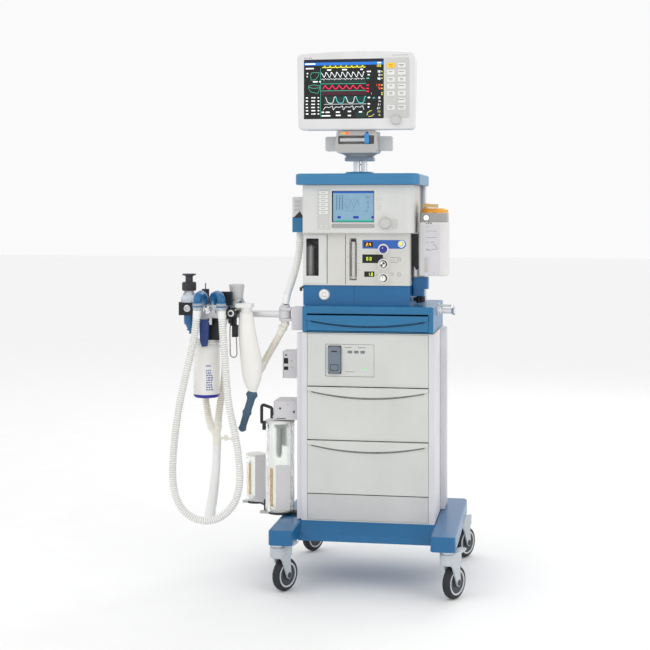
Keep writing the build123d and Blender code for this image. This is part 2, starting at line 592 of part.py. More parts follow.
def make_monitor():
    with BuildPart() as monitor_mast:
        for x, radius in ((MAST_X - 10, 11), (MAST_X + 14, 9.5)):
            rod((x, MAST_Y, SHELF_Z[1] + 7), (x, MAST_Y, 1325), radius)
            rod((x, MAST_Y, 1306), (x, MAST_Y, 1310), radius + 1.6)
            rod((x, MAST_Y, SHELF_Z[1] + 7), (x, MAST_Y, SHELF_Z[1] + 10), radius + 1.6)
        top_plate((MAST_X - 46, MAST_X + 46), (MAST_Y - 38, MAST_Y + 38), (1319, 1330), 20)
        rod((MAST_X, MAST_Y, 1328), (MAST_X, MAST_Y, 1352), 12)
    keep(monitor_mast, "monitor_mast")

    with BuildPart() as monitor_dock:
        turned((MAST_X, MAST_Y, 1330.6), (0, 0, 1), [(0, 42), (6, 48), (12, 58)])
        with BuildSketch(Plane.XZ.offset(-4)):
            with BuildLine():
                Polyline((-98, 1342), (22, 1342), (30, 1356), (24, 1408), (18, 1411.5), (-94, 1411.5), (-100, 1408),
                         (-106, 1356), close=True)
            make_face()
        extrude(amount=104)
        front_plate((-96, 18), (-110, -70), (1369, 1396), 4, mode=Mode.SUBTRACT)
        front_plate((-145, 69), (-46, -26), (1350, 1396), 6)
        front_plate((-92, 2), (-88, -69), (1378, 1388), 2)
        front_plate((-12, 2), (-103, -69), (1371, 1402), 2)
        rod((MAST_X, MAST_Y, 1320), (MAST_X, MAST_Y, 1353), 12 + RUNNING, mode=Mode.SUBTRACT)
        for lug in ((-98, -86), (10, 22)):
            block(lug, (2, 14), (TILT_Z - 5, TILT_Z + 4))
            rod((lug[0], TILT_Y, TILT_Z), (lug[1], TILT_Y, TILT_Z), 5)
        rod((-90, TILT_Y, TILT_Z), (16, TILT_Y, TILT_Z), 3)
    keep(monitor_dock, "monitor_dock")

    with BuildPart() as monitor_bezel:
        with BuildSketch(Plane.XZ.offset(-MON_SPLIT)) as face:
            monitor_outline(0)
            fillet(face.vertices(), 15)
        extrude(amount=MON_SPLIT - MON_FRONT)
        fillet(monitor_bezel.faces().sort_by(Axis.Y)[0].edges(), 6)
        front_plate(MON_SCREEN_X, (MON_FRONT - 1, MON_FRONT + 5), MON_SCREEN_Z, 3, mode=Mode.SUBTRACT)
        for row in range(7):
            for column in (73, 107):
                if row != 5 or column > 90:
                    front_plate((column - 12, column + 12), (MON_FRONT - 1.6, MON_FRONT + 1),
                                (1603 - 21.7 * row, 1618 - 21.7 * row), 3)
        rod((MON_KNOB_X, -150, MON_KNOB_Z), (MON_KNOB_X, -100, MON_KNOB_Z), 3 + RUNNING, mode=Mode.SUBTRACT)
        front_plate((40, 128), (MON_FRONT - 0.8, MON_FRONT + 1), (1636, 1641), 1)
    keep(monitor_bezel, "monitor_bezel")

    with BuildPart() as monitor_case:
        with BuildSketch(Plane.XZ.offset(20)) as rim:
            monitor_outline(3)
            fillet(rim.vertices(), 13)
        extrude(amount=-(MON_SPLIT + 20))
        front_plate((-205, 129), (-22, MON_BACK), (1428, 1640), 26)
        fillet(monitor_case.faces().sort_by(Axis.Y)[-1].edges(), 12)
        block((-212, 136), (MON_SPLIT, -26), (1420, 1638), mode=Mode.SUBTRACT)
        block((-195, 119), (-30, MON_BACK - 4), (1438, 1630), mode=Mode.SUBTRACT)
        for row in range(8):
            front_plate((-150, 74), (MON_BACK - 8, MON_BACK + 4), (1530 + 10 * row, 1534 + 10 * row), 1.8,
                        mode=Mode.SUBTRACT)
        block((-82, 6), (TILT_Y - 6, TILT_Y + 6), (TILT_Z, 1429))
        rod((-82, TILT_Y, TILT_Z), (6, TILT_Y, TILT_Z), 6)
        rod((-100, TILT_Y, TILT_Z), (30, TILT_Y, TILT_Z), 3 + RUNNING, mode=Mode.SUBTRACT)
    keep(monitor_case, "monitor_case")

    with BuildPart() as monitor_knob:
        turned((MON_KNOB_X, MON_FRONT - 1, MON_KNOB_Z), (0, -1, 0), [(0, 15), (12, 14), (15, 11), (15, 0.1)])
        with BuildSketch(Plane(origin=(MON_KNOB_X, MON_FRONT - 3, MON_KNOB_Z), z_dir=(0, -1, 0))):
            with PolarLocations(15.2, 18):
                Circle(1.2)
        extrude(amount=15, mode=Mode.SUBTRACT)
        rod((MON_KNOB_X, MON_FRONT - 1, MON_KNOB_Z), (MON_KNOB_X, MON_FRONT + 12, MON_KNOB_Z), 3)
    keep(monitor_knob, "monitor_knob")


# ---------------------------------------------------------------- vaporizer, right side
def make_vaporizer():
    with BuildPart() as vaporizer_body:
        top_plate(VAP_X, VAP_Y, (957, 1125), 12)
        fillet(vaporizer_body.faces().sort_by(Axis.Z)[0].edges(), 4)
        top_plate(grown(VAP_X, -3), grown(VAP_Y, -3), (1125, 1154), 11)
        front_plate((166, 219), (-63.6, -61), (962, 1117), 3)
        front_plate((173, 182), (-65, -63), (968, 1018), 3)
        turned((177, -57, 1139), (0, -1, 0), [(0, 8), (8, 8), (9, 7)])
        rod((VAP_AXIS[0], VAP_AXIS[1], 1120), (VAP_AXIS[0], VAP_AXIS[1], 1160), 6 + RUNNING, mode=Mode.SUBTRACT)
        rod((LEVER_AXIS[0], LEVER_AXIS[1], 1100), (LEVER_AXIS[0], LEVER_AXIS[1], 1171), 7)
        block((158, 174), (40, 56), (1100, 1120))
        rod((LEVER_AXIS[0], LEVER_AXIS[1], 1150), (LEVER_AXIS[0], LEVER_AXIS[1], 1172), 3 + RUNNING, mode=Mode.SUBTRACT)
    keep(vaporizer_body, "vaporizer_body")

    with BuildPart() as vaporizer_dial:
        turned((*VAP_AXIS, 1154.6), (0, 0, 1), [(0, 43), (9, 43), (14, 38), (14, 0.1)])
        with BuildSketch(Plane.XY.offset(1154)):
            with Locations(VAP_AXIS):
                with PolarLocations(44, 36):
                    Circle(1.6)
        extrude(amount=20, mode=Mode.SUBTRACT)
        rod((*VAP_AXIS, 1124), (*VAP_AXIS, 1156), 6)
    keep(vaporizer_dial, "vaporizer_dial")

    with BuildPart() as vaporizer_lever:
        rod((*LEVER_AXIS, 1171.6), (*LEVER_AXIS, 1184), 9)
        rod((*LEVER_AXIS, 1152), (*LEVER_AXIS, 1175), 3)
        with BuildLine():
            FilletPolyline((166, 56, 1177), (162, -20, 1177), (168, -56, 1177), (214, -58, 1176), radius=14)
        with BuildSketch(Plane(origin=(166, 56, 1177), z_dir=(-4, -76, 0))):
            RectangleRounded(10, 11, 3)
        sweep()
    keep(vaporizer_lever, "vaporizer_lever")

    with BuildPart() as outlet_block:
        with BuildSketch(Plane.XZ.offset(-10)):
            with BuildLine():
                Polyline((131, 1088), (151.8, 1088), (151.8, 985), (144, 975), (138, 988), (131, 1010), close=True)
            make_face()
        extrude(amount=60)
        top_plate((129, 180), (-40, 10), (915, 952), 8)
        top_plate((129, 168), (-38, 6), (893, 916), 8)
        block((129, 133), (-48, 8), (940, 1010))
        rod((133, -20, 882), (168, -20, 882), 6)
        rod((150, -20, 870), (150, -20, 894), 7)
        rod((160, -20, 873), (160, -20, 891), 9)
    keep(outlet_block, "outlet_block")


# ---------------------------------------------------------------- left side brackets and jars
def jar(x, y, low, high, radius):
    """Clear jar with a closed bottom, and its lid."""
    turned((x, y, low), (0, 0, 1), [(0, radius - 5), (5, radius), (high - low, radius)])
    turned((x, y, low + 3), (0, 0, 1), [(0, radius - 6), (4, radius - 3), (high - low + 4, radius - 3)],
           mode=Mode.SUBTRACT)


def make_jars():
    with BuildPart() as suction_jars:
        jar(-293, -40, 204, 486, 47)
        jar(-403, 100, 204, 354, 33)
        turned((-293, -40, 484), (0, 0, 1), [(2, 47), (7, 47), (11, 40), (11, 0.1)])
        turned((-403, 100, 352), (0, 0, 1), [(2, 33), (5, 33), (7, 28), (7, 0.1)])
    keep(suction_jars, "suction_jars")

    with BuildPart() as jar_bracket:
        front_plate((-296, -249), (-93, -89.5), (219, 358), 3)
        block((-292, -262), (-90, -87.2), (224, 232))
        front_plate((-397, -360), (60, 64), (206, 358), 3)
        block((-402, -392), (63, 66.8), (212, 220))
        rod((-296, -40, 383), (-296, -40, 486), 9)
        rod((-296, -40, 374), (-296, -40, 384), 6)
        rod((-279, -40, 411), (-279, -40, 486), 7.5)
        block((-308, -268), (-52, -28), (468, 486))
        block((-331, -325), (-44, -38), (215, 350))
        block((-427, -421), (96, 102), (215, 330))
        rod((-293, -40, 197), (-293, -40, 204), 40)
        rod((-403, 100, 197), (-403, 100, 204), 29)
        block((-293, -209), (-58, -22), (197, 203))
        block((-224, -209), (-58, -22), (197, 260))
        rod((-310, -12, 200.5), (-388, 82, 200.5), 3.4)
        top_plate((-356, -322), (-62, -40), (196.5, 203), 6)
        top_plate((-446, -424), (84, 104), (196.5, 203), 6)
        block((-350, -342), (-20, -10), (197, 232))
    keep(jar_bracket, "jar_bracket")

    with BuildPart() as side_boxes:
        top_plate((-306, -209), (-82, 18), (500, 559), 6)
        fillet(side_boxes.faces().sort_by(Axis.Z)[-1].edges(), 3)
        top_plate((-280, -209), (-66, 0), (630, 715), 5)
        block((-275, -261), (-70, -60), (676, 694), mode=Mode.SUBTRACT)
        block((-275, -261), (-70, -60), (656, 667), mode=Mode.SUBTRACT)
        rod((-268, -70, 703), (-268, -62, 703), 3, mode=Mode.SUBTRACT)
        rod((-284, -84, 536), (-284, -82, 536), 3)
        rod((-240, -84, 526), (-240, -82, 526), 3)
        pipe([(-312, -76, 503), (-312, -76, 536), (-345, -76, 547), (-345, -76, 492)], 5, radii=[7, 7])
        block((-316, -304), (-80, -70), (506, 520))
        block((-348, -332), (-81, -71), (486, 494))
        rod((-337, -76, 466), (-337, -76, 490), 6)
    keep(side_boxes, "side_boxes")


# ---------------------------------------------------------------- breathing arm
def make_arm():
    with BuildPart() as arm_bracket:
        top_plate((-246, -WORK_X), (-92, -32), (785, 856), 6)
        for plate in ((812, 820), (845, 854)):
            top_plate((PIVOT_X - 19, -240), (PIVOT_Y - 19, PIVOT_Y + 19), plate, 18)
            rod((PIVOT_X, PIVOT_Y, plate[0] - 1), (PIVOT_X, PIVOT_Y, plate[1] + 1), 13 + RUNNING, mode=Mode.SUBTRACT)
        ring((PIVOT_X, PIVOT_Y, 854), (PIVOT_X, PIVOT_Y, 862), 15, 10)
        ring((PIVOT_X, PIVOT_Y, 853.6), (PIVOT_X, PIVOT_Y, 855), 18, 10)
    keep(arm_bracket, "arm_bracket")

    with BuildPart() as swing_arm:
        rod((PIVOT_X, PIVOT_Y, 821), (PIVOT_X, PIVOT_Y, 844), 19)
        rod((PIVOT_X, PIVOT_Y, 796), (PIVOT_X, PIVOT_Y, 853), 13)
        rod((PIVOT_X, PIVOT_Y, ARM_Z), (-446, PIVOT_Y, ARM_Z), 11.2)
        rod((PIVOT_X - 20, PIVOT_Y, ARM_Z), (PIVOT_X - 32, PIVOT_Y, ARM_Z), 11.45)
        rod((-410, PIVOT_Y, ARM_Z), (-446, PIVOT_Y, ARM_Z), 14)
        rod((PIVOT_X, -61.6, 799.5), VENT_LOWER_ROUTE[0], 11)
        turned(VENT_LOWER_ROUTE[0], (12, -4, 24), [(0, 14.5), (8, 14.5), (8, 11)])
    keep(swing_arm, "swing_arm")


def make_breathing_block():
    with BuildPart() as breathing_block:
        top_plate((-545, -446), (-118, -46), (821, 863), 6)
        block((-560, -470), (-50, -7), (800, 838))
        for x in LIMB_X:
            rod((x, LIMB_Y, 790), (x, LIMB_Y, 802), 13)
        pipe([(-400, -28, 852), (-400, -28, 640), (-368, -30, 640), VENT_LOWER_ROUTE[-1]], 13, radii=[18, 15])
        block((-412, -390), (-60, -20), (848, 862))
        block((-474, -440), (-46, -12), (812, 838))
        top_plate((-611, -558), (-103, -57), (828, 870), 5)
        rod((-580, -80, 846), (-540, -80, 846), 12)
        turned((APL_X, -80, 868), (0, 0, 1), [(0, 26), (14, 26), (26, 20), (36, 15)])
        rod((APL_X, -80, 829), (APL_X, -80, 806), 17)
        turned((APL_X, -80, 810), (0.32, 0, -1), [(0, 17), (20, 14), (42, 9)])
        rod((-528, -78, 862), (-528, -78, 911), 12)
        rod((-528, -78, 911), (-528, -78, 930), 1.6)
        block((-476, -434), (-118, -99), (862, 905))
        top_plate((-454, -402), (-97, -47), (847, 870), 6)
        rod((SELECT_X, SELECT_Y, 869), (SELECT_X, SELECT_Y, 880), 23)
        rod((SELECT_X, SELECT_Y, 880), (SELECT_X, SELECT_Y, 888), 6)
        turned((-511, -117, 845), (0, -1, 0.25), [(0, 9), (14, 9), (14, 6), (20, 6)])
        rod((-488, -132, 842), (-488, -117, 842), 5)
        rod((-433, -126, 838), (-433, -88, 838), 15)
        block((-440, -430), (-132, -112), (806, 828))
        block((-430, -414), (-126, -104), (763, 800))
        block((-436, -420), (-118, -100), (798, 850))
        for x, start in zip(PORT_X, (-525, -495)):
            lean = (start + x) / 2
            pipe([(start, -104, 850), (start, -108, 890), (lean, -128, 897), (x, PORT_Y, 890), (x, PORT_Y, PORT_Z + 2)],
                 13, radii=[14, 14, 14])
            rod((x, PORT_Y, PORT_Z), (x, PORT_Y, PORT_Z + 9), 15)
        top_plate((-422, -366), (-131, -80), (856, 868), 10)
        rod((-386, BAG_Y, 846), (-386, BAG_Y, 857), 17)
        block((-511, -470), (-108, -52), (750, 823))
        block((-500, -492), (HANDLE_Y - 6, -106), (802, 823))
        rod((-536, HANDLE_Y, HANDLE_Z), (-496, HANDLE_Y, HANDLE_Z), 2.5)
        rod((APL_X, -80, 894), (APL_X, -80, 909), 3)
        rod((CANISTER_X, CANISTER_Y, 739), (CANISTER_X, CANISTER_Y, 751), 38)
    keep(breathing_block, "breathing_block")

    with BuildPart() as absorber_handle:
        with BuildSketch(Plane.XZ.offset(126)):
            with BuildLine():
                Polyline((-533, 818), (-505, 818), (-502, 800), (-504, 762), (-509, 734), (-525, 731), (-531, 750),
                         (-533, 780), close=True)
            make_face()
        extrude(amount=12)
        fillet(absorber_handle.faces().sort_by(Axis.Y)[0].edges(), 3)
        rod((-540, HANDLE_Y, HANDLE_Z), (-498, HANDLE_Y, HANDLE_Z), 2.5 + RUNNING, mode=Mode.SUBTRACT)
    keep(absorber_handle, "absorber_handle")

    with BuildPart() as apl_valve_knob:
        turned((APL_X, -80, 905.5), (0, 0, 1),
               [(0, 22), (27, 22), (28, 20), (28, 12), (46, 12), (50, 21), (54, 22), (54.5, 0.1)])
        with BuildSketch(Plane.XY.offset(906)):
            with Locations((APL_X, -80)):
                with PolarLocations(22.4, 18):
                    Circle(1.5)
        extrude(amount=26, mode=Mode.SUBTRACT)
        rod((APL_X, -80, 905), (APL_X, -80, 910), 3 + RUNNING, mode=Mode.SUBTRACT)
    keep(apl_valve_knob, "apl_valve_knob")

    with BuildPart() as bag_selector_knob:
        turned((SELECT_X, SELECT_Y, 881), (0, 0, 1), [(0, 20), (12, 21), (40, 24.5), (45, 24.5), (46, 23), (46, 0.1)])
        rod((SELECT_X, SELECT_Y, 880), (SELECT_X, SELECT_Y, 889), 6 + RUNNING, mode=Mode.SUBTRACT)
    keep(bag_selector_knob, "bag_selector_knob")

    with BuildPart() as absorber_canister:
        turned((CANISTER_X, CANISTER_Y, 567), (0, 0, 1),
               [(0, 37), (3, 40), (15, CANISTER_R), (152, CANISTER_R), (156, 42.5), (163, 42.5), (168, 40), (171, 38)])
        turned((CANISTER_X, CANISTER_Y, 571), (0, 0, 1), [(0, 37), (150, 38), (151, 0.1)], mode=Mode.SUBTRACT)
    keep(absorber_canister, "absorber_canister")


def make_bag():
    sections = ((846, 17, 15, -386), (815, 23, 19, -385.5), (760, 28, 23, -382), (677, 34, 29, -373),
                (640, 29, 25, -370), (592, 13.5, 13.5, -367))
    with BuildPart() as breathing_bag:
        for height, half_x, half_y, x in sections:
            with BuildSketch(Plane.XY.offset(height)):
                with Locations((x, BAG_Y)):
                    Ellipse(half_x, half_y)
        loft()
        pipe(TAIL_ROUTE, 13.5)
    keep(breathing_bag, "breathing_bag")


# ---------------------------------------------------------------- hoses
def hose(name, routes, radius):
    """Free-hanging hose or pair of hoses, with lengths and arcs printed."""
    with BuildPart() as tube:
        length = sum(pipe(route, radius) for route in routes)
    radii = [round(arc) for route in routes for arc in corner_radii(route)]
    expected = math.pi * radius**2 * length
    print(f"{name}: {length:.0f} mm in all, volume {tube.part.volume / expected:.3f} of its section "
          f"times its length, arcs {radii}")
    keep(tube, name)


def make_hoses():
    hose("circuit_hose", [CIRCUIT_ROUTE], HOSE_R)
    hose("circuit_limbs", [LIMB_LEFT_ROUTE, LIMB_RIGHT_ROUTE], LIMB_R)
    hose("vent_hose_upper", [VENT_UPPER_ROUTE], VENT_R)
    hose("vent_hose_lower", [VENT_LOWER_ROUTE], VENT_RIBBED_R)
    hose("sample_line", [SAMPLE_ROUTE], SAMPLE_R)

    with BuildPart() as patient_tube:
        pipe(PATIENT_ROUTE, PATIENT_R)
        for x in (-525.5, -500.5):
            rod((x, -24, 467), (-504, -24, 432), 10.5)
        rod((-504, -24, 412), (-504, -24, 438), 13)
        rod((-504, -24, 428), (-450, -28, 426), 4)
        rod((-474, -26, 420), (-474, -26, 438), 4.5)
        rod((-450, -28, 418), (-450, -28, 436), 4.5)
    keep(patient_tube, "patient_tube")


CORD_NODES = ("circuit_hose", "circuit_limbs", "vent_hose_upper", "vent_hose_lower",
              "sample_line", "patient_tube")


def footprint_shift():
    """The move that puts the middle of everything but the hoses over the origin."""
    solid = [piece.bounding_box() for name, piece in PIECES.items() if name not in CORD_NODES]
    x = min(box.min.X for box in solid) + max(box.max.X for box in solid)
    y = min(box.min.Y for box in solid) + max(box.max.Y for box in solid)
    return Vector(-x / 2, -y / 2, 0)


def write_pieces(shift):
    os.makedirs("parts", exist_ok=True)
    for name, piece in PIECES.items():
        placed = piece.moved(Location(shift))
        placed.label = name
        export_step(placed, f"parts/{name}.step")


make_base()
make_casters()
make_cabinet()
make_drawers()
make_side_rails()
make_worktop()
make_plinth()
make_gas_unit()
make_display()
make_monitor()
make_vaporizer()
make_jars()
make_arm()
make_breathing_block()
make_bag()
make_hoses()
SHIFT = footprint_shift()
write_pieces(SHIFT)
print(f"{len(PIECES)} pieces, moved by {SHIFT.X:.2f}, {SHIFT.Y:.2f}")
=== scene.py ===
import math
import random

import bpy
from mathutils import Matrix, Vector


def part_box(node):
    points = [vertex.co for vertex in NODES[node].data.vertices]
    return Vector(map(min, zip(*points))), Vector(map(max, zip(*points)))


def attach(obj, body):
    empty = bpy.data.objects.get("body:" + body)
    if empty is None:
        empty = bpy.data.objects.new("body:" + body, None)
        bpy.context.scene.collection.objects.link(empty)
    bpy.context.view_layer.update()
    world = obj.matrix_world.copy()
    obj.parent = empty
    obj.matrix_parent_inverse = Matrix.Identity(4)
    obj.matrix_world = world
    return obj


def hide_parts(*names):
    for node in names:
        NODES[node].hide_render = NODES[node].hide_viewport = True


# An anesthesia machine on casters. The CAD frame gives every hard piece; this script gives
# them their finishes, and adds screens, labels, hoses, the breathing bag and small trim.

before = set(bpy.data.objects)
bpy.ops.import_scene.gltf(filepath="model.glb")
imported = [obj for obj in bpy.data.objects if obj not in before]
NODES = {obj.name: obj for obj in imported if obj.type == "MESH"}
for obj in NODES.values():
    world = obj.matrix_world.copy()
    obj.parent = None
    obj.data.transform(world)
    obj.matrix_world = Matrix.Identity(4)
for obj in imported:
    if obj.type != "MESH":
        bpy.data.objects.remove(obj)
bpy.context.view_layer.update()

BASE_LOW, BASE_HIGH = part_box("base_frame")
BASE_FORWARD = 0.003             # the base frame's middle is this far behind the casters' middle
ORIGIN = Vector(((BASE_LOW.x + BASE_HIGH.x) / 2, (BASE_LOW.y + BASE_HIGH.y) / 2 - BASE_FORWARD, 0))
MM = 0.001
LOW, HIGH = -math.inf, math.inf
UP, DOWN, FRONT, LEFT, RIGHT = (0, 0, 1), (0, 0, -1), (0, -1, 0), (-1, 0, 0), (1, 0, 0)

# Places on the machine, in millimetres about the middle of the casters.
CANISTER = (-524, -80)
CANISTER_RADIUS = 41.5
RELIEF_VALVE = (-581.5, -80)
SELECTOR = (-427, -72)
PORTS_X, PORTS_Y = (-534, -457), -156
LIMBS_X, LIMBS_Y = (-545, -486), -22
FORK_JOIN = (-504, -24)
LARGE_JAR, SMALL_JAR = (-293, -40), (-403, 100)
JAR_FLOOR = 204
VAPORIZER_DIAL = (198, -9)
FLOW_TUBE = (-48, -88)
CASTER_TURN = 60                 # degrees that the casters are turned to at rest


def at(x, y, z):
    """Point given in millimetres about the middle of the casters, as the frame has it."""
    return ORIGIN + Vector((x, y, z)) * MM


def local(point):
    """Millimetres about the middle of the casters, of a point of the frame."""
    return (point - ORIGIN) / MM


def route(points):
    """A hose's route, in metres about the middle of the casters, as points of the frame."""
    return [ORIGIN + Vector(point) for point in points]


# ---------------------------------------------------------------- camera and light
def make_camera():
    data = bpy.data.cameras.new("camera")
    data.sensor_width = 36
    data.lens = 74.71
    data.shift_y = -0.1738
    data.clip_end = 100
    camera = bpy.data.objects.new("camera", data)
    camera.location = at(567.7, -4266.5, 1157)
    camera.rotation_euler = (math.radians(90), 0, math.radians(9.6))
    bpy.context.scene.collection.objects.link(camera)
    bpy.context.scene.camera = camera


def area_light(name, place, target, size, power):
    data = bpy.data.lights.new(name, "AREA")
    data.shape = "RECTANGLE"
    data.size, data.size_y = size
    data.energy = power
    light = bpy.data.objects.new(name, data)
    light.location = place
    light.rotation_euler = (Vector(target) - Vector(place)).to_track_quat("-Z", "Y").to_euler()
    bpy.context.scene.collection.objects.link(light)


def make_studio():
    scene = bpy.context.scene
    scene.view_settings.view_transform = "Standard"
    world = bpy.data.worlds.new("studio")
    world.use_nodes = True
    background = world.node_tree.nodes["Background"]
    background.inputs["Color"].default_value = (1.0, 1.0, 1.0, 1)
    background.inputs["Strength"].default_value = 0.96
    scene.world = world
    area_light("key", (-2.4, -3.2, 3.4), (0, 0, 0.9), (2.2, 2.2), 20)
    area_light("fill", (3.2, -2.4, 2.2), (0, 0, 0.8), (2.4, 2.4), 18)
    area_light("back", (1.5, 3.4, 3.2), (0, 0, 1.0), (2.0, 2.0), 30)
    reach, level = 30.0, -0.0005
    corners = [(x * reach, y * reach, level) for x, y in ((-1, -1), (1, -1), (1, 1), (-1, 1))]
    floor = link_mesh("studio_floor", corners, [(0, 1, 2, 3)])
    floor.data.materials.append(finish("floor_paint", (248, 248, 248), roughness=0.7, variation=0.01,
                                       bump=0.0))


# ---------------------------------------------------------------- materials
def linear(value):
    value /= 255
    return value / 12.92 if value <= 0.04045 else ((value + 0.055) / 1.055) ** 2.4


def rgb(colour):
    return tuple(linear(channel) for channel in colour)


def tinted(colour, by):
    return tuple(min(1.0, channel * by) for channel in rgb(colour)) + (1,)


def finish(name, colour, roughness=0.42, metallic=0.0, variation=0.05, grain=900.0, bump=0.06, cloud=7.0,
           streak=(1, 1, 1), coat=0.0, subsurface=0.0, transmission=0.0, alpha=1.0, ior=1.48, glow=0.0):
    """Procedural finish: cloudy colour, uneven gloss and a fine surface grain."""
    made = bpy.data.materials.new(name)
    made.use_nodes = True
    tree = made.node_tree
    shader = tree.nodes["Principled BSDF"]
    where = tree.nodes.new("ShaderNodeTexCoord")
    stretch = tree.nodes.new("ShaderNodeMapping")
    stretch.inputs["Scale"].default_value = streak
    tree.links.new(where.outputs["Object"], stretch.inputs["Vector"])
    soft = tree.nodes.new("ShaderNodeTexNoise")
    soft.inputs["Scale"].default_value = cloud
    soft.inputs["Detail"].default_value = 5
    tree.links.new(stretch.outputs["Vector"], soft.inputs["Vector"])
    ramp = tree.nodes.new("ShaderNodeValToRGB")
    ramp.color_ramp.elements[0].position = 0.3
    ramp.color_ramp.elements[1].position = 0.7
    ramp.color_ramp.elements[0].color = tinted(colour, 1 - variation)
    ramp.color_ramp.elements[1].color = tinted(colour, 1 + variation)
    tree.links.new(soft.outputs["Fac"], ramp.inputs["Fac"])
    tree.links.new(ramp.outputs["Color"], shader.inputs["Base Color"])
    gloss = tree.nodes.new("ShaderNodeMapRange")
    gloss.inputs["To Min"].default_value = max(0.02, roughness - 0.06)
    gloss.inputs["To Max"].default_value = min(1.0, roughness + 0.08)
    tree.links.new(soft.outputs["Fac"], gloss.inputs["Value"])
    tree.links.new(gloss.outputs["Result"], shader.inputs["Roughness"])
    if bump:
        fine = tree.nodes.new("ShaderNodeTexNoise")
        fine.inputs["Scale"].default_value = grain
        fine.inputs["Detail"].default_value = 3
        tree.links.new(stretch.outputs["Vector"], fine.inputs["Vector"])
        relief = tree.nodes.new("ShaderNodeBump")
        relief.inputs["Strength"].default_value = bump
        relief.inputs["Distance"].default_value = 0.0006
        tree.links.new(fine.outputs["Fac"], relief.inputs["Height"])
        tree.links.new(relief.outputs["Normal"], shader.inputs["Normal"])
    shader.inputs["Metallic"].default_value = metallic
    shader.inputs["Coat Weight"].default_value = coat
    shader.inputs["Subsurface Weight"].default_value = subsurface
    shader.inputs["Subsurface Radius"].default_value = (0.02, 0.02, 0.018)
    shader.inputs["Transmission Weight"].default_value = transmission
    shader.inputs["IOR"].default_value = ior
    shader.inputs["Alpha"].default_value = alpha
    if glow:
        tree.links.new(ramp.outputs["Color"], shader.inputs["Emission Color"])
        shader.inputs["Emission Strength"].default_value = glow
    return made


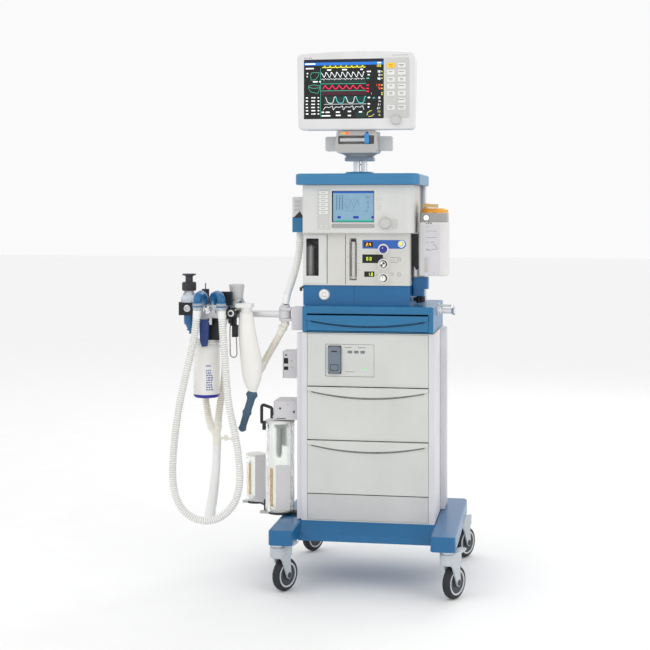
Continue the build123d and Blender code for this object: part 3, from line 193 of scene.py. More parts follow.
FINISHES = {
    "slab_blue": dict(colour=(50, 122, 166), roughness=0.38, coat=0.15),
    "plinth_blue": dict(colour=(14, 98, 150), roughness=0.36, coat=0.15),
    "drawer_blue": dict(colour=(26, 108, 154), roughness=0.36, coat=0.15),
    "base_blue": dict(colour=(8, 96, 146), roughness=0.35, coat=0.2, bump=0.1, grain=500),
    "port_blue": dict(colour=(14, 98, 150), roughness=0.28, coat=0.3),
    "shell_white": dict(colour=(210, 211, 208), roughness=0.5, grain=1400, bump=0.12),
    "monitor_grey": dict(colour=(218, 218, 218), roughness=0.5, grain=1400, bump=0.12),
    "key_plate": dict(colour=(198, 199, 195), roughness=0.45, grain=1200, bump=0.06),
    "key_light": dict(colour=(228, 228, 224), roughness=0.4),
    "key_yellow": dict(colour=(250, 200, 30), roughness=0.35),
    "panel_warm": dict(colour=(206, 205, 199), roughness=0.48, grain=1200, bump=0.08),
    "cabinet_grey": dict(colour=(205, 207, 203), roughness=0.5, grain=700, bump=0.16),
    "pillar_grey": dict(colour=(212, 211, 215), roughness=0.46, grain=700, bump=0.12),
    "kick_grey": dict(colour=(198, 198, 197), roughness=0.5, grain=700, bump=0.16),
    "plate_grey": dict(colour=(190, 189, 188), roughness=0.42, grain=900, bump=0.08),
    "dock_grey": dict(colour=(180, 179, 178), roughness=0.4, grain=900, bump=0.08),
    "box_grey": dict(colour=(207, 205, 208), roughness=0.45, grain=800, bump=0.1),
    "rail_metal": dict(colour=(221, 221, 223), roughness=0.32, metallic=0.75, streak=(1, 1, 0.04), grain=500,
                       bump=0.08),
    "steel": dict(colour=(200, 202, 205), roughness=0.24, metallic=1.0, grain=300, bump=0.05, variation=0.08),
    "cast_metal": dict(colour=(196, 198, 200), roughness=0.38, metallic=0.85, grain=400, bump=0.12,
                       variation=0.1),
    "chrome": dict(colour=(228, 230, 232), roughness=0.08, metallic=1.0, bump=0.0, variation=0.03),
    "black": dict(colour=(16, 18, 24), roughness=0.45, bump=0.1, variation=0.2),
    "soft_black": dict(colour=(40, 42, 46), roughness=0.6, bump=0.1, variation=0.12),
    "apl_black": dict(colour=(54, 53, 60), roughness=0.4, variation=0.1),
    "knob_grey": dict(colour=(196, 196, 196), roughness=0.4),
    "dial_grey": dict(colour=(196, 194, 192), roughness=0.4),
    "knob_blue": dict(colour=(30, 46, 150), roughness=0.35),
    "knob_white": dict(colour=(236, 236, 232), roughness=0.35),
    "handle_blue": dict(colour=(40, 62, 120), roughness=0.5, grain=500, bump=0.15, variation=0.12),
    "lever_blue": dict(colour=(60, 140, 205), roughness=0.35),
    "trap_smoke": dict(colour=(104, 116, 128), roughness=0.28, coat=0.4, variation=0.12),
    "vapor_grey": dict(colour=(218, 217, 215), roughness=0.42, grain=800, bump=0.08),
    "vapor_plate": dict(colour=(208, 206, 211), roughness=0.35, grain=900, bump=0.03),
    "band_grey": dict(colour=(160, 158, 156), roughness=0.45),
    "dial_amber": dict(colour=(240, 170, 40), roughness=0.35, coat=0.3),
    "lever_tan": dict(colour=(205, 172, 116), roughness=0.4),
    "window_grey": dict(colour=(165, 166, 166), roughness=0.35, metallic=0.3, streak=(1, 1, 0.1)),
    "fork_grey": dict(colour=(186, 193, 198), roughness=0.42, grain=600, bump=0.1, variation=0.08),
    "tyre": dict(colour=(34, 36, 40), roughness=0.65, grain=500, bump=0.25, variation=0.15),
    "wheel_ring": dict(colour=(206, 210, 214), roughness=0.4),
    "hub_dark": dict(colour=(58, 62, 68), roughness=0.45),
    "canister_white": dict(colour=(236, 234, 230), roughness=0.3, subsurface=0.25, variation=0.03),
    "canister_rim": dict(colour=(40, 40, 150), roughness=0.35),
    "hose_white": dict(colour=(248, 248, 245), roughness=0.32, subsurface=0.35, transmission=0.12,
                       variation=0.03,
                       bump=0.0),
    "hose_cream": dict(colour=(248, 244, 232), roughness=0.34, subsurface=0.35, transmission=0.12,
                       variation=0.04,
                       bump=0.0),
    # painted shade: darker copies of the hose finishes, for the faces down in the rib valleys
    "hose_valley_shade": dict(colour=(214, 215, 210), roughness=0.4, variation=0.03, bump=0.0),
    "cream_valley_shade": dict(colour=(222, 215, 198), roughness=0.4, variation=0.04, bump=0.0),
    "dock_light": dict(colour=(214, 214, 213), roughness=0.4, grain=900, bump=0.08),
    "mast_plate": dict(colour=(132, 150, 168), roughness=0.35),
    "post_white": dict(colour=(234, 236, 238), roughness=0.22, metallic=0.5, bump=0.0),
    "pane": dict(colour=(250, 252, 252), roughness=0.04, transmission=0.9, variation=0.01, bump=0.0,
                 ior=1.1, alpha=0.12),
    "bag_skin": dict(colour=(236, 234, 229), roughness=0.4, subsurface=0.4, grain=260, bump=0.1,
                     variation=0.03),
    "tail_rubber": dict(colour=(62, 88, 108), roughness=0.55, grain=500, bump=0.2, variation=0.2),
    "clear": dict(colour=(246, 250, 246), roughness=0.06, transmission=0.92, variation=0.02, bump=0.0,
                  ior=1.3,
                  alpha=0.6),
    "clear_cuff": dict(colour=(224, 232, 240), roughness=0.12, transmission=0.6, variation=0.02, bump=0.0),
    "scale_tan": dict(colour=(205, 170, 110), roughness=0.5, variation=0.1),
    "jar_label": dict(colour=(205, 203, 204), roughness=0.45),
    "print_grey": dict(colour=(120, 122, 126), roughness=0.6, variation=0.15),
    "print_dark": dict(colour=(34, 36, 44), roughness=0.6, variation=0.15),
    "print_blue": dict(colour=(92, 108, 176), roughness=0.55, variation=0.2),
    "print_white": dict(colour=(238, 240, 240), roughness=0.5),
    "band_blue": dict(colour=(30, 92, 178), roughness=0.3, coat=0.3),
    "readout": dict(colour=(8, 8, 10), roughness=0.15, bump=0.0),
    "green": dict(colour=(40, 130, 90), roughness=0.4),
    "wire_brown": dict(colour=(120, 100, 92), roughness=0.4, bump=0.0),
}
GLOWS = {
    "screen_black": ((5, 7, 9), 0.1), "screen_navy": ((10, 22, 46), 0.35),
         "screen_blue": ((20, 104, 190), 0.5),
    "screen_white": ((232, 238, 238), 0.75), "screen_teal": ((70, 168, 142), 0.7),
         "screen_deep": ((8, 44, 40), 0.4),
    "screen_cyan": ((96, 208, 216), 0.7), "screen_red": ((222, 26, 74), 0.75),
         "screen_orange": ((236, 84, 40), 0.75),
    "screen_yellow": ((222, 216, 62), 0.75), "screen_olive": ((70, 74, 30), 0.4),
         "screen_wine": ((56, 10, 30), 0.5),
    "field_blue": ((118, 152, 174), 0.3), "field_line": ((74, 102, 128), 0.5),
         "field_head": ((16, 74, 152), 0.6),
    "field_foot": ((44, 150, 128), 0.6), "field_key": ((30, 44, 140), 0.6),
         "digit_amber": ((250, 186, 40), 1.0),
    "digit_lime": ((196, 220, 50), 0.9), "lamp_green": ((70, 220, 60), 1.2),
}
MADE = {}


def look(name):
    """The named finish, made when it is first asked for."""
    if name not in MADE:
        if name in GLOWS:
            colour, glow = GLOWS[name]
            MADE[name] = finish(name, colour, roughness=0.25, variation=0.04, bump=0.0, cloud=30, glow=glow)
        else:
            MADE[name] = finish(name, **FINISHES[name])
    return MADE[name]


def paint(node, base, *zones):
    """Gives a CAD node its finish; a zone is (finish, test on the face's place and normal)."""
    mesh = NODES[node].data
    mesh.materials.clear()
    for name in (base, *[zone[0] for zone in zones]):
        mesh.materials.append(look(name))
    for face in mesh.polygons:
        x, y, z = local(face.center)
        face.material_index = 0
        for index, (_, inside) in enumerate(zones, 1):
            if inside(x, y, z, face.normal):
                face.material_index = index


def zone(finish_name, x=(LOW, HIGH), y=(LOW, HIGH), z=(LOW, HIGH)):
    """A zone of paint() that takes the faces with their centre inside a box."""
    def inside(u, v, w, _):
        return x[0] < u < x[1] and y[0] < v < y[1] and z[0] < w < z[1]
    return finish_name, inside


def soften(node, width=0.8, angle=35):
    """Rounds a CAD node's sharp edges a little, so that they catch the light."""
    bevel = NODES[node].modifiers.new("edge", "BEVEL")
    bevel.width = width * MM
    bevel.segments = 2
    bevel.limit_method = "ANGLE"
    bevel.angle_limit = math.radians(angle)
    bevel.harden_normals = True


# ---------------------------------------------------------------- mesh tools
def link_mesh(name, points, faces):
    """A new object of the points and faces, in the scene."""
    mesh = bpy.data.meshes.new(name)
    mesh.from_pydata(points, [], faces)
    piece = bpy.data.objects.new(name, mesh)
    bpy.context.scene.collection.objects.link(piece)
    return piece


def circle(middle, side, up, radius, around):
    """Points of a circle in the plane of two directions."""
    points = []
    for i in range(around):
        a = 2 * math.pi * i / around
        points.append(middle + (side * math.cos(a) + up * math.sin(a)) * radius)
    return points


def tube_faces(circles, around):
    """Faces between neighbouring circles of points."""
    faces = []
    for row in range(circles - 1):
        low, high = row * around, (row + 1) * around
        for i in range(around):
            j = (i + 1) % around
            faces.append((low + i, low + j, high + j, high + i))
    return faces


def end_faces(count, around):
    """The first and the last circle of points as closed faces."""
    return [tuple(range(around - 1, -1, -1)), tuple(range(count - around, count))]


def polar(x, z, radius, degrees):
    a = math.radians(degrees)
    return x + radius * math.cos(a), z + radius * math.sin(a)


class Shape:
    """Collects faces of several finishes into one piece."""

    def __init__(self, name, body, slot):
        self.name, self.body, self.slot = name, body, slot
        self.points, self.faces, self.marks, self.finishes = [], [], [], []

    def mark(self, finish_name):
        if finish_name not in self.finishes:
            self.finishes.append(finish_name)
        return self.finishes.index(finish_name)

    def add(self, points, faces, finish_name):
        start, index = len(self.points), self.mark(finish_name)
        self.points += [at(*point) for point in points]
        self.faces += [tuple(start + corner for corner in face) for face in faces]
        self.marks += [index] * len(faces)

    def slab(self, outline, depth, finish_name, axis="y"):
        """Closed plate: (x, z) points between two depths in y, or (x, y) points between two heights."""
        count = len(outline)
        turn = {"y": lambda u, d, v: (u, d, v), "z": lambda u, d, v: (u, v, d)}[axis]
        points = [turn(u, depth[0], v) for u, v in outline] + [turn(u, depth[1], v) for u, v in outline]
        sides = [(i, (i + 1) % count, count + (i + 1) % count, count + i) for i in range(count)]
        self.add(points, [tuple(range(count - 1, -1, -1)), tuple(range(count, 2 * count))] + sides,
                 finish_name)

    def lathe(self, origin, axis, stations, finish_name, around=32, close=True):
        """Turned piece; stations are (distance along the axis, radius)."""
        axis = Vector(axis).normalized()
        side = axis.orthogonal().normalized()
        up = axis.cross(side)
        points = []
        for along, radius in stations:
            points += circle(Vector(origin) + axis * along, side, up, radius, around)
        faces = tube_faces(len(stations), around)
        if close:
            faces += end_faces(len(points), around)
        self.add(points, faces, finish_name)

    def build(self, smooth=True, bevel=0.0):
        piece = link_mesh(self.name, self.points, self.faces)
        mesh = piece.data
        for name in self.finishes:
            mesh.materials.append(look(name))
        for face, index in zip(mesh.polygons, self.marks):
            face.material_index = index
        mesh.validate()
        if smooth:
            shade(piece)
        if bevel:
            edge = piece.modifiers.new("edge", "BEVEL")
            edge.width = bevel * MM
            edge.segments = 2
            edge.limit_method = "ANGLE"
        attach(piece, self.body)
        return piece


def shade(piece, angle=35):
    """Smooth shading, with edges sharper than the angle kept."""
    mesh = piece.data
    mesh.shade_smooth()
    mesh.set_sharp_from_angle(angle=math.radians(angle))


def rounded(x, z, radius, steps=5):
    """Outline of a rectangle with round corners."""
    corners = [(x[1], z[0], 270), (x[1], z[1], 0), (x[0], z[1], 90), (x[0], z[0], 180)]
    outline = []
    for u, v, start in corners:
        cu = u - radius if u == x[1] else u + radius
        cv = v - radius if v == z[1] else v + radius
        for i in range(steps + 1):
            a = math.radians(start + 90 * i / steps)
            outline.append((cu + radius * math.cos(a), cv + radius * math.sin(a)))
    return outline


def disc(x, z, radius, around=28):
    return [(x + radius * math.cos(2 * math.pi * i / around), z + radius * math.sin(2 * math.pi * i / around))
            for i in range(around)]


def bar(x, z):
    return [(x[0], z[0]), (x[1], z[0]), (x[1], z[1]), (x[0], z[1])]


def ribbon(points, width):
    """Outline quads of a flat line through the points, as a list of bars."""
    quads = []
    for (x0, z0), (x1, z1) in zip(points, points[1:]):
        run = math.hypot(x1 - x0, z1 - z0) or 1
        ox, oz = -(z1 - z0) / run * width / 2, (x1 - x0) / run * width / 2
        quads.append([(x0 - ox, z0 - oz), (x1 - ox, z1 - oz), (x1 + ox, z1 + oz), (x0 + ox, z0 + oz)])
    return quads


SEGMENTS = {"0": "abcdef", "1": "bc", "2": "abged", "3": "abgcd", "4": "fgbc", "5": "afgcd", "6": "afgedc",
            "7": "abc", "8": "abcdefg", "9": "abcdfg", "-": "g"}


def numerals(text, x, z, height):
    """Seven-segment numerals from the lower left corner, as bars."""
    width, thick = height * 0.52, height * 0.14
    bars = []
    for character in text:
        if character == ".":
            bars.append(bar((x, x + thick), (z, z + thick)))
            x += thick * 2
            continue
        middle = z + height / 2
        places = {
            "a": ((x, x + width), (z + height - thick, z + height)),
            "g": ((x, x + width), (middle - thick / 2, middle + thick / 2)),
            "d": ((x, x + width), (z, z + thick)), "f": ((x, x + thick), (middle, z + height)),
            "b": ((x + width - thick, x + width), (middle, z + height)), "e": ((x, x + thick), (z, middle)),
            "c": ((x + width - thick, x + width), (z, middle)),
        }
        bars += [bar(*places[key]) for key in SEGMENTS.get(character, "")]
        x += width * 1.45
    return bars


class Face(Shape):
    """Printed or lit marks lying on a front face, each a thin plate."""

    def __init__(self, name, body, slot, y):
        super().__init__(name, body, slot)
        self.y = y

    def put(self, outline, finish_name, level=1, thick=0.12):
        proud = self.y - 0.14 * level
        self.slab(outline, (proud, proud + thick + 0.1), finish_name)

    def puts(self, outlines, finish_name, level=1):
        for outline in outlines:
            self.put(outline, finish_name, level)

    def build(self):
        return super().build(smooth=False)


class Screen(Face):
    """Lit marks placed by shares of a screen's width and height."""

    def __init__(self, name, body, y, x, z):
        super().__init__(name, body, "dark_plastic", y)
        self.x, self.z = x, z

    def place(self, u, v):
        return self.x[0] + u * (self.x[1] - self.x[0]), self.z[0] + v * (self.z[1] - self.z[0])

    def patch(self, u, v, finish_name, level=2):
        self.put(bar(*zip(self.place(u[0], v[0]), self.place(u[1], v[1]))), finish_name, level)

    def trace(self, points, finish_name, width=1.1, level=4):
        self.puts(ribbon([self.place(u, v) for u, v in points], width), finish_name, level)

    def number(self, text, u, v, size, finish_name, level):
        self.puts(numerals(text, *self.place(u, v), size), finish_name, level)


# ---------------------------------------------------------------- hoses
CIRCUIT_ROUTE = route([
    (-0.534, -0.156, 0.861), (-0.539, -0.157, 0.790), (-0.553, -0.158, 0.720), (-0.570, -0.159, 0.650),
    (-0.588, -0.160, 0.570), (-0.603, -0.161, 0.478), (-0.612, -0.162, 0.385), (-0.613, -0.163, 0.308),
    (-0.599, -0.163, 0.246), (-0.563, -0.162, 0.202), (-0.507, -0.161, 0.185), (-0.452, -0.160, 0.202),
    (-0.412, -0.159, 0.246), (-0.396, -0.159, 0.306), (-0.398, -0.159, 0.368), (-0.406, -0.158, 0.430),
    (-0.419, -0.158, 0.492), (-0.433, -0.158, 0.556), (-0.440, -0.157, 0.622), (-0.445, -0.157, 0.700),
    (-0.453, -0.156, 0.782), (-0.457, -0.156, 0.861),
])
LIMB_LEFT_ROUTE = route([
    (-0.545, -0.022, 0.789), (-0.549, -0.022, 0.708), (-0.550, -0.021, 0.630), (-0.544, -0.021, 0.566),
    (-0.537, -0.022, 0.516), (-0.527, -0.024, 0.470),
])
LIMB_RIGHT_ROUTE = route([
    (-0.486, -0.022, 0.789), (-0.479, -0.022, 0.708), (-0.478, -0.021, 0.632), (-0.488, -0.021, 0.571),
    (-0.497, -0.022, 0.519), (-0.501, -0.024, 0.470),
])
PATIENT_ROUTE = route([
    (-0.504, -0.024, 0.412), (-0.505, -0.025, 0.352), (-0.510, -0.027, 0.292), (-0.517, -0.030, 0.232),
    (-0.527, -0.033, 0.172),
])
VENT_UPPER_ROUTE = route([
    (-0.231, -0.020, 1.092), (-0.232, -0.021, 1.045), (-0.240, -0.028, 0.990), (-0.254, -0.042, 0.935),
    (-0.267, -0.056, 0.895), (-0.272, -0.062, 0.864),
])
VENT_LOWER_ROUTE = route([
    (-0.281, -0.061, 0.786), (-0.293, -0.057, 0.762), (-0.3075, -0.050, 0.7385), (-0.323, -0.042, 0.714),
    (-0.338, -0.0355, 0.689), (-0.352, -0.031, 0.664),
])
SAMPLE_ROUTE = route([
    (-0.435, -0.128, 0.805), (-0.436, -0.128, 0.779), (-0.4356, -0.128, 0.752), (-0.4351, -0.128, 0.725),
    (-0.435, -0.128, 0.7064), (-0.4286, -0.128, 0.700), (-0.4194, -0.128, 0.700), (-0.413, -0.128, 0.7064),
    (-0.4136, -0.127, 0.724), (-0.415, -0.125, 0.743), (-0.4165, -0.122, 0.762),
])


def nurbs_curve(name, points):
    """One smooth open spline with the route's points as its control points."""
    curve = bpy.data.curves.new(name, "CURVE")
    curve.dimensions = "3D"
    spline = curve.splines.new("NURBS")
    spline.points.add(len(points) - 1)
    for control, point in zip(spline.points, points):
        control.co = (*point, 1)
    spline.order_u = 3
    spline.use_endpoint_u = True
    spline.resolution_u = 16
    return curve


def smooth_line(points):
    """Points read from the route's smooth line."""
    curve = nurbs_curve("line", points)
    carrier = bpy.data.objects.new("line", curve)
    mesh = bpy.data.meshes.new_from_object(carrier)
    line = [vertex.co.copy() for vertex in mesh.vertices]
    bpy.data.objects.remove(carrier)
    bpy.data.meshes.remove(mesh)
    bpy.data.curves.remove(curve)
    return line


def line_length(line):
    return sum((b - a).length for a, b in zip(line, line[1:]))


def stations(line, step):
    """Evenly spaced (distance, point, direction) along a line."""
    total = line_length(line)
    count = max(2, round(total / step))
    found, index, passed = [], 0, 0.0
    for i in range(count + 1):
        wanted = min(total * i / count, total - 1e-9)
        while index < len(line) - 2 and passed + (line[index + 1] - line[index]).length < wanted:
            passed += (line[index + 1] - line[index]).length
            index += 1
        run = line[index + 1] - line[index]
        share = (wanted - passed) / run.length
        before, after = line[max(index - 1, 0)], line[min(index + 2, len(line) - 1)]
        found.append((wanted, line[index].lerp(line[index + 1], share), (after - before).normalized()))
    return found


TUBE_WALL = 0.0016               # wall seen inside an open end
VALLEY_DEPTH = 0.0007            # a rib's side this far in takes the darker valley finish, painted shade


def tube_mesh(name, line, radius_at, finish_name, step=0.0012, around=22, open_end=0.0, valley_shade=None):
    """Tube along a line, with a radius that depends on the distance along it."""
    rows = stations(line, step)
    total = rows[-1][0]
    side = rows[0][2].orthogonal().normalized()
    points = []
    for distance, point, direction in rows:
        side = (side - direction * side.dot(direction)).normalized()
        up = direction.cross(side)
        points += circle(point, side, up, radius_at(distance, total), around)
    if open_end:
        for distance, point, direction in reversed([row for row in rows if row[0] > total - open_end]):
            side = (side - direction * side.dot(direction)).normalized()
            up = direction.cross(side)
            points += circle(point, side, up, radius_at(distance, total) - TUBE_WALL, around)
    faces = tube_faces(len(points) // around, around) + end_faces(len(points), around)
    piece = link_mesh(name, points, faces)
    mesh = piece.data
    mesh.validate()
    mesh.materials.append(look(finish_name))
    # faces down in the rib valleys take the darker copy of the hose finish: painted shade in the creases
    if valley_shade:
        mesh.materials.append(look(valley_shade))
        widths = [radius_at(row[0], total) for row in rows]
        for row in range(len(rows) - 1):
            if max(widths[row], widths[row + 1]) < max(widths) - VALLEY_DEPTH:
                for i in range(around):
                    mesh.polygons[row * around + i].material_index = 1
    shade(piece, 60)
    return piece


def ribbed(radius, depth, pitch, plain):
    """Radius of a corrugated hose: plain cuffs of the given length, ribs between them."""
    def radius_at(distance, total):
        inset = min(distance, total - distance)
        ribs = min(1.0, max(0.0, (inset - plain) / (2 * pitch)))
        wave = 0.5 - 0.5 * math.cos(2 * math.pi * distance / pitch)
        return radius - depth * ribs * wave ** 0.7
    return radius_at


def free_hose(name, points, diameter, pitch, depth, body, exit_point, finish_name, replaced,
              plain=0.03, radius_at=None, open_end=0.0,
              valley_shade=None):
    line = smooth_line(points)
    shape = radius_at or ribbed(diameter / 2, depth, pitch, plain)
    piece = tube_mesh(name, line, shape, finish_name, step=pitch / 6, open_end=open_end, valley_shade=valley_shade)
    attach(piece, body)
    if replaced:
        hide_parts(replaced)
    tuple(exit_point)
    line_length(line)
    [tuple(point) for point in line]


def patient_radius(distance, total):
    """The wide patient tube widens downwards, with a plain collar at each end."""
    share = distance / total
    return 0.0130 + 0.0040 * share + (0.0008 if distance < 0.022 or total - distance < 0.02 else 0.0)


def make_hoses():
    y_piece = make_y_piece()
    free_hose("circuit_hose_ribbed", CIRCUIT_ROUTE, 0.025, 0.0072, 0.0021, "breathing_arm", CIRCUIT_ROUTE[0],
              "hose_white", "circuit_hose", plain=0.03, valley_shade="hose_valley_shade")
    for side, points in (("left", LIMB_LEFT_ROUTE), ("right", LIMB_RIGHT_ROUTE)):
        free_hose(f"circuit_limb_{side}", points, 0.025, 0.0072, 0.0021, "breathing_arm", points[0],
                  "hose_cream",
                  "circuit_limbs", plain=0.008,
                  valley_shade="cream_valley_shade")
    free_hose("patient_tube_wide", PATIENT_ROUTE, 0.032, 0.009, 0.0, "breathing_arm", PATIENT_ROUTE[0],
              "hose_white", "patient_tube", radius_at=patient_radius, open_end=0.03)
    free_hose("vent_hose_upper_ribbed", VENT_UPPER_ROUTE, 0.024, 0.006, 0.0009, "root", VENT_UPPER_ROUTE[0],
              "hose_white", "vent_hose_upper", plain=0.02, valley_shade="hose_valley_shade")
    free_hose("vent_hose_lower_ribbed", VENT_LOWER_ROUTE, 0.024, 0.0066, 0.0018, "breathing_arm",
              VENT_LOWER_ROUTE[0], "hose_cream", "vent_hose_lower", plain=0.012, valley_shade="cream_valley_shade")
    free_hose("sample_line_thin", SAMPLE_ROUTE, 0.0032, 0.006, 0.0, "breathing_arm", SAMPLE_ROUTE[0],
              "wire_brown", "sample_line", plain=0.01)


def make_y_piece():
    """The two limbs join in a moulded fork above the wide patient tube."""
    y = Shape("y_piece", "breathing_arm", "hose_plastic")
    for x in (-525.5, -500.5):
        start, end = Vector((x, -24, 467)), Vector((*FORK_JOIN, 432))
        reach = (end - start).length
        y.lathe(start, end - start, [(-3, 12.6), (0, 13.2), (8, 13.2), (9, 11.6), (reach, 10.7)],
                "hose_cream")
    y.lathe((*FORK_JOIN, 440), DOWN, [(0, 11), (4, 13.4), (10, 13.6), (28, 13.8), (34, 14.4), (36, 13.4)],
            "hose_cream")
    y.lathe((*FORK_JOIN, 428), (54, -4, -2), [(0, 5), (30, 4.4), (31, 5.6), (36, 5.6), (37, 4.2), (54, 3.8)],
            "hose_cream", around=18)
    for x, low in ((-474, 420), (-450, 418)):
        y.lathe((x, -24 + (x + 504) * -0.074, low - 1), UP, [(0, 4.2), (2, 5.4), (17, 5.4), (19, 4.2)],
                "hose_cream",
                around=18)
    return y.build()


# ---------------------------------------------------------------- breathing bag
BAG_SECTIONS = ((0.846, 0.0170, 0.0145, -0.3865), (0.838, 0.0210, 0.0165, -0.387),
                (0.815, 0.0245, 0.0190, -0.386),
                (0.794, 0.0265, 0.0205, -0.385), (0.749, 0.0304, 0.0235, -0.380),
                (0.704, 0.0341, 0.0265, -0.373),
                (0.674, 0.0349, 0.0285, -0.369), (0.644, 0.0320, 0.0265, -0.3675),
                (0.614, 0.0237, 0.0212, -0.3675),
                (0.595, 0.0150, 0.0142, -0.3668), (0.586, 0.0135, 0.0135, -0.3668))
BAG_Y = -0.112
TAIL_POINTS = route([(-0.367, -0.112, 0.592), (-0.3705, -0.112, 0.568), (-0.381, -0.111, 0.538),
                     (-0.403, -0.110, 0.464)])


def bag_station(height):
    """Half widths and place of the bag at a height, on a smooth curve through its sections."""
    heights = [section[0] for section in BAG_SECTIONS]
    for index in range(len(BAG_SECTIONS) - 1):
        if heights[index] >= height >= heights[index + 1]:
            break
    before, start = BAG_SECTIONS[max(index - 1, 0)], BAG_SECTIONS[index]
    end, after = BAG_SECTIONS[index + 1], BAG_SECTIONS[min(index + 2, len(BAG_SECTIONS) - 1)]
    t = (heights[index] - height) / (heights[index] - heights[index + 1])
    values = []
    for a, b, c, d in zip(before[1:], start[1:], end[1:], after[1:]):
        square, cube = 2 * a - 5 * b + 4 * c - d, 3 * b - a - 3 * c + d
        values.append(0.5 * (2 * b + (c - a) * t + square * t * t + cube * t ** 3))
    return values


def make_bag():
    """Slack rubber bag: soft upright folds that fade towards the full belly, and a side seam."""
    rows, around = 110, 96
    points, faces = [], []
    top, bottom = BAG_SECTIONS[0][0], BAG_SECTIONS[-1][0]
    for row in range(rows + 1):
        height = top + (bottom - top) * row / rows
        half_x, half_y, x = bag_station(height)
        depth = (top - height) / (top - bottom)
        slack = math.sin(math.pi * min(1.0, depth * 1.15)) ** 0.8
        for i in range(around):
            a = 2 * math.pi * i / around
            fold = 0.030 * math.cos(3 * a + 0.6 + 1.4 * depth) + 0.018 * math.cos(7 * a + 3.0 * depth)
            fold += 0.010 * math.cos(13 * a - 4.0 * depth)
            seam = 0.028 * math.exp(-((math.sin(a) / 0.05) ** 2)) * (0.4 + 0.6 * depth)
            swell = 1.0 - slack * (0.035 - fold * (1.15 - depth)) + seam * slack
            swell -= 0.03 * slack * math.exp(-(((depth - 0.84) / 0.05) ** 2)) * math.cos(5 * a)
            out_x, out_y = half_x * swell * math.cos(a), half_y * swell * math.sin(a)
            points.append(ORIGIN + Vector((x + out_x, BAG_Y + out_y, height)))
    for row in range(rows):
        for i in range(around):
            low, high = row * around, (row + 1) * around
            faces.append((low + i, high + i, high + (i + 1) % around, low + (i + 1) % around))
    faces.append(tuple(range(around)))
    faces.append(tuple(range(len(points) - 1, len(points) - around - 1, -1)))
    bag = link_mesh("breathing_bag_skin", points, faces)
    bag.data.materials.append(look("bag_skin"))
    shade(bag, 60)
    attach(bag, "breathing_arm")
    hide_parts("breathing_bag")

    neck = Shape("bag_neck", "breathing_arm", "bag_rubber")
    neck.lathe((-386, -112, 856), DOWN, [(0, 17.2), (1, 18), (5, 18), (6, 17.2), (10, 17.2), (11, 18.2),
                                               (15, 18.2), (18, 16.6)], "key_light", around=40)
    neck.build()

    def tail_radius(distance, total):
        share = distance / total
        collar = 0.0034 * math.exp(-((distance - 0.009) / 0.008) ** 2)
        bumps = 0.0030 * max(0.0, math.sin(share * 15.0)) ** 3
        fine = 0.00045 * math.sin(distance * 1500)
        tip = 0.0075 * max(0.0, (share - 0.9) / 0.1) ** 2
        return 0.0130 + collar + bumps + fine - 0.0026 * share - tip
    tail = tube_mesh("bag_tail_grip", smooth_line(TAIL_POINTS), tail_radius, "tail_rubber", step=0.0007,
                     around=36)
    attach(tail, "breathing_arm")


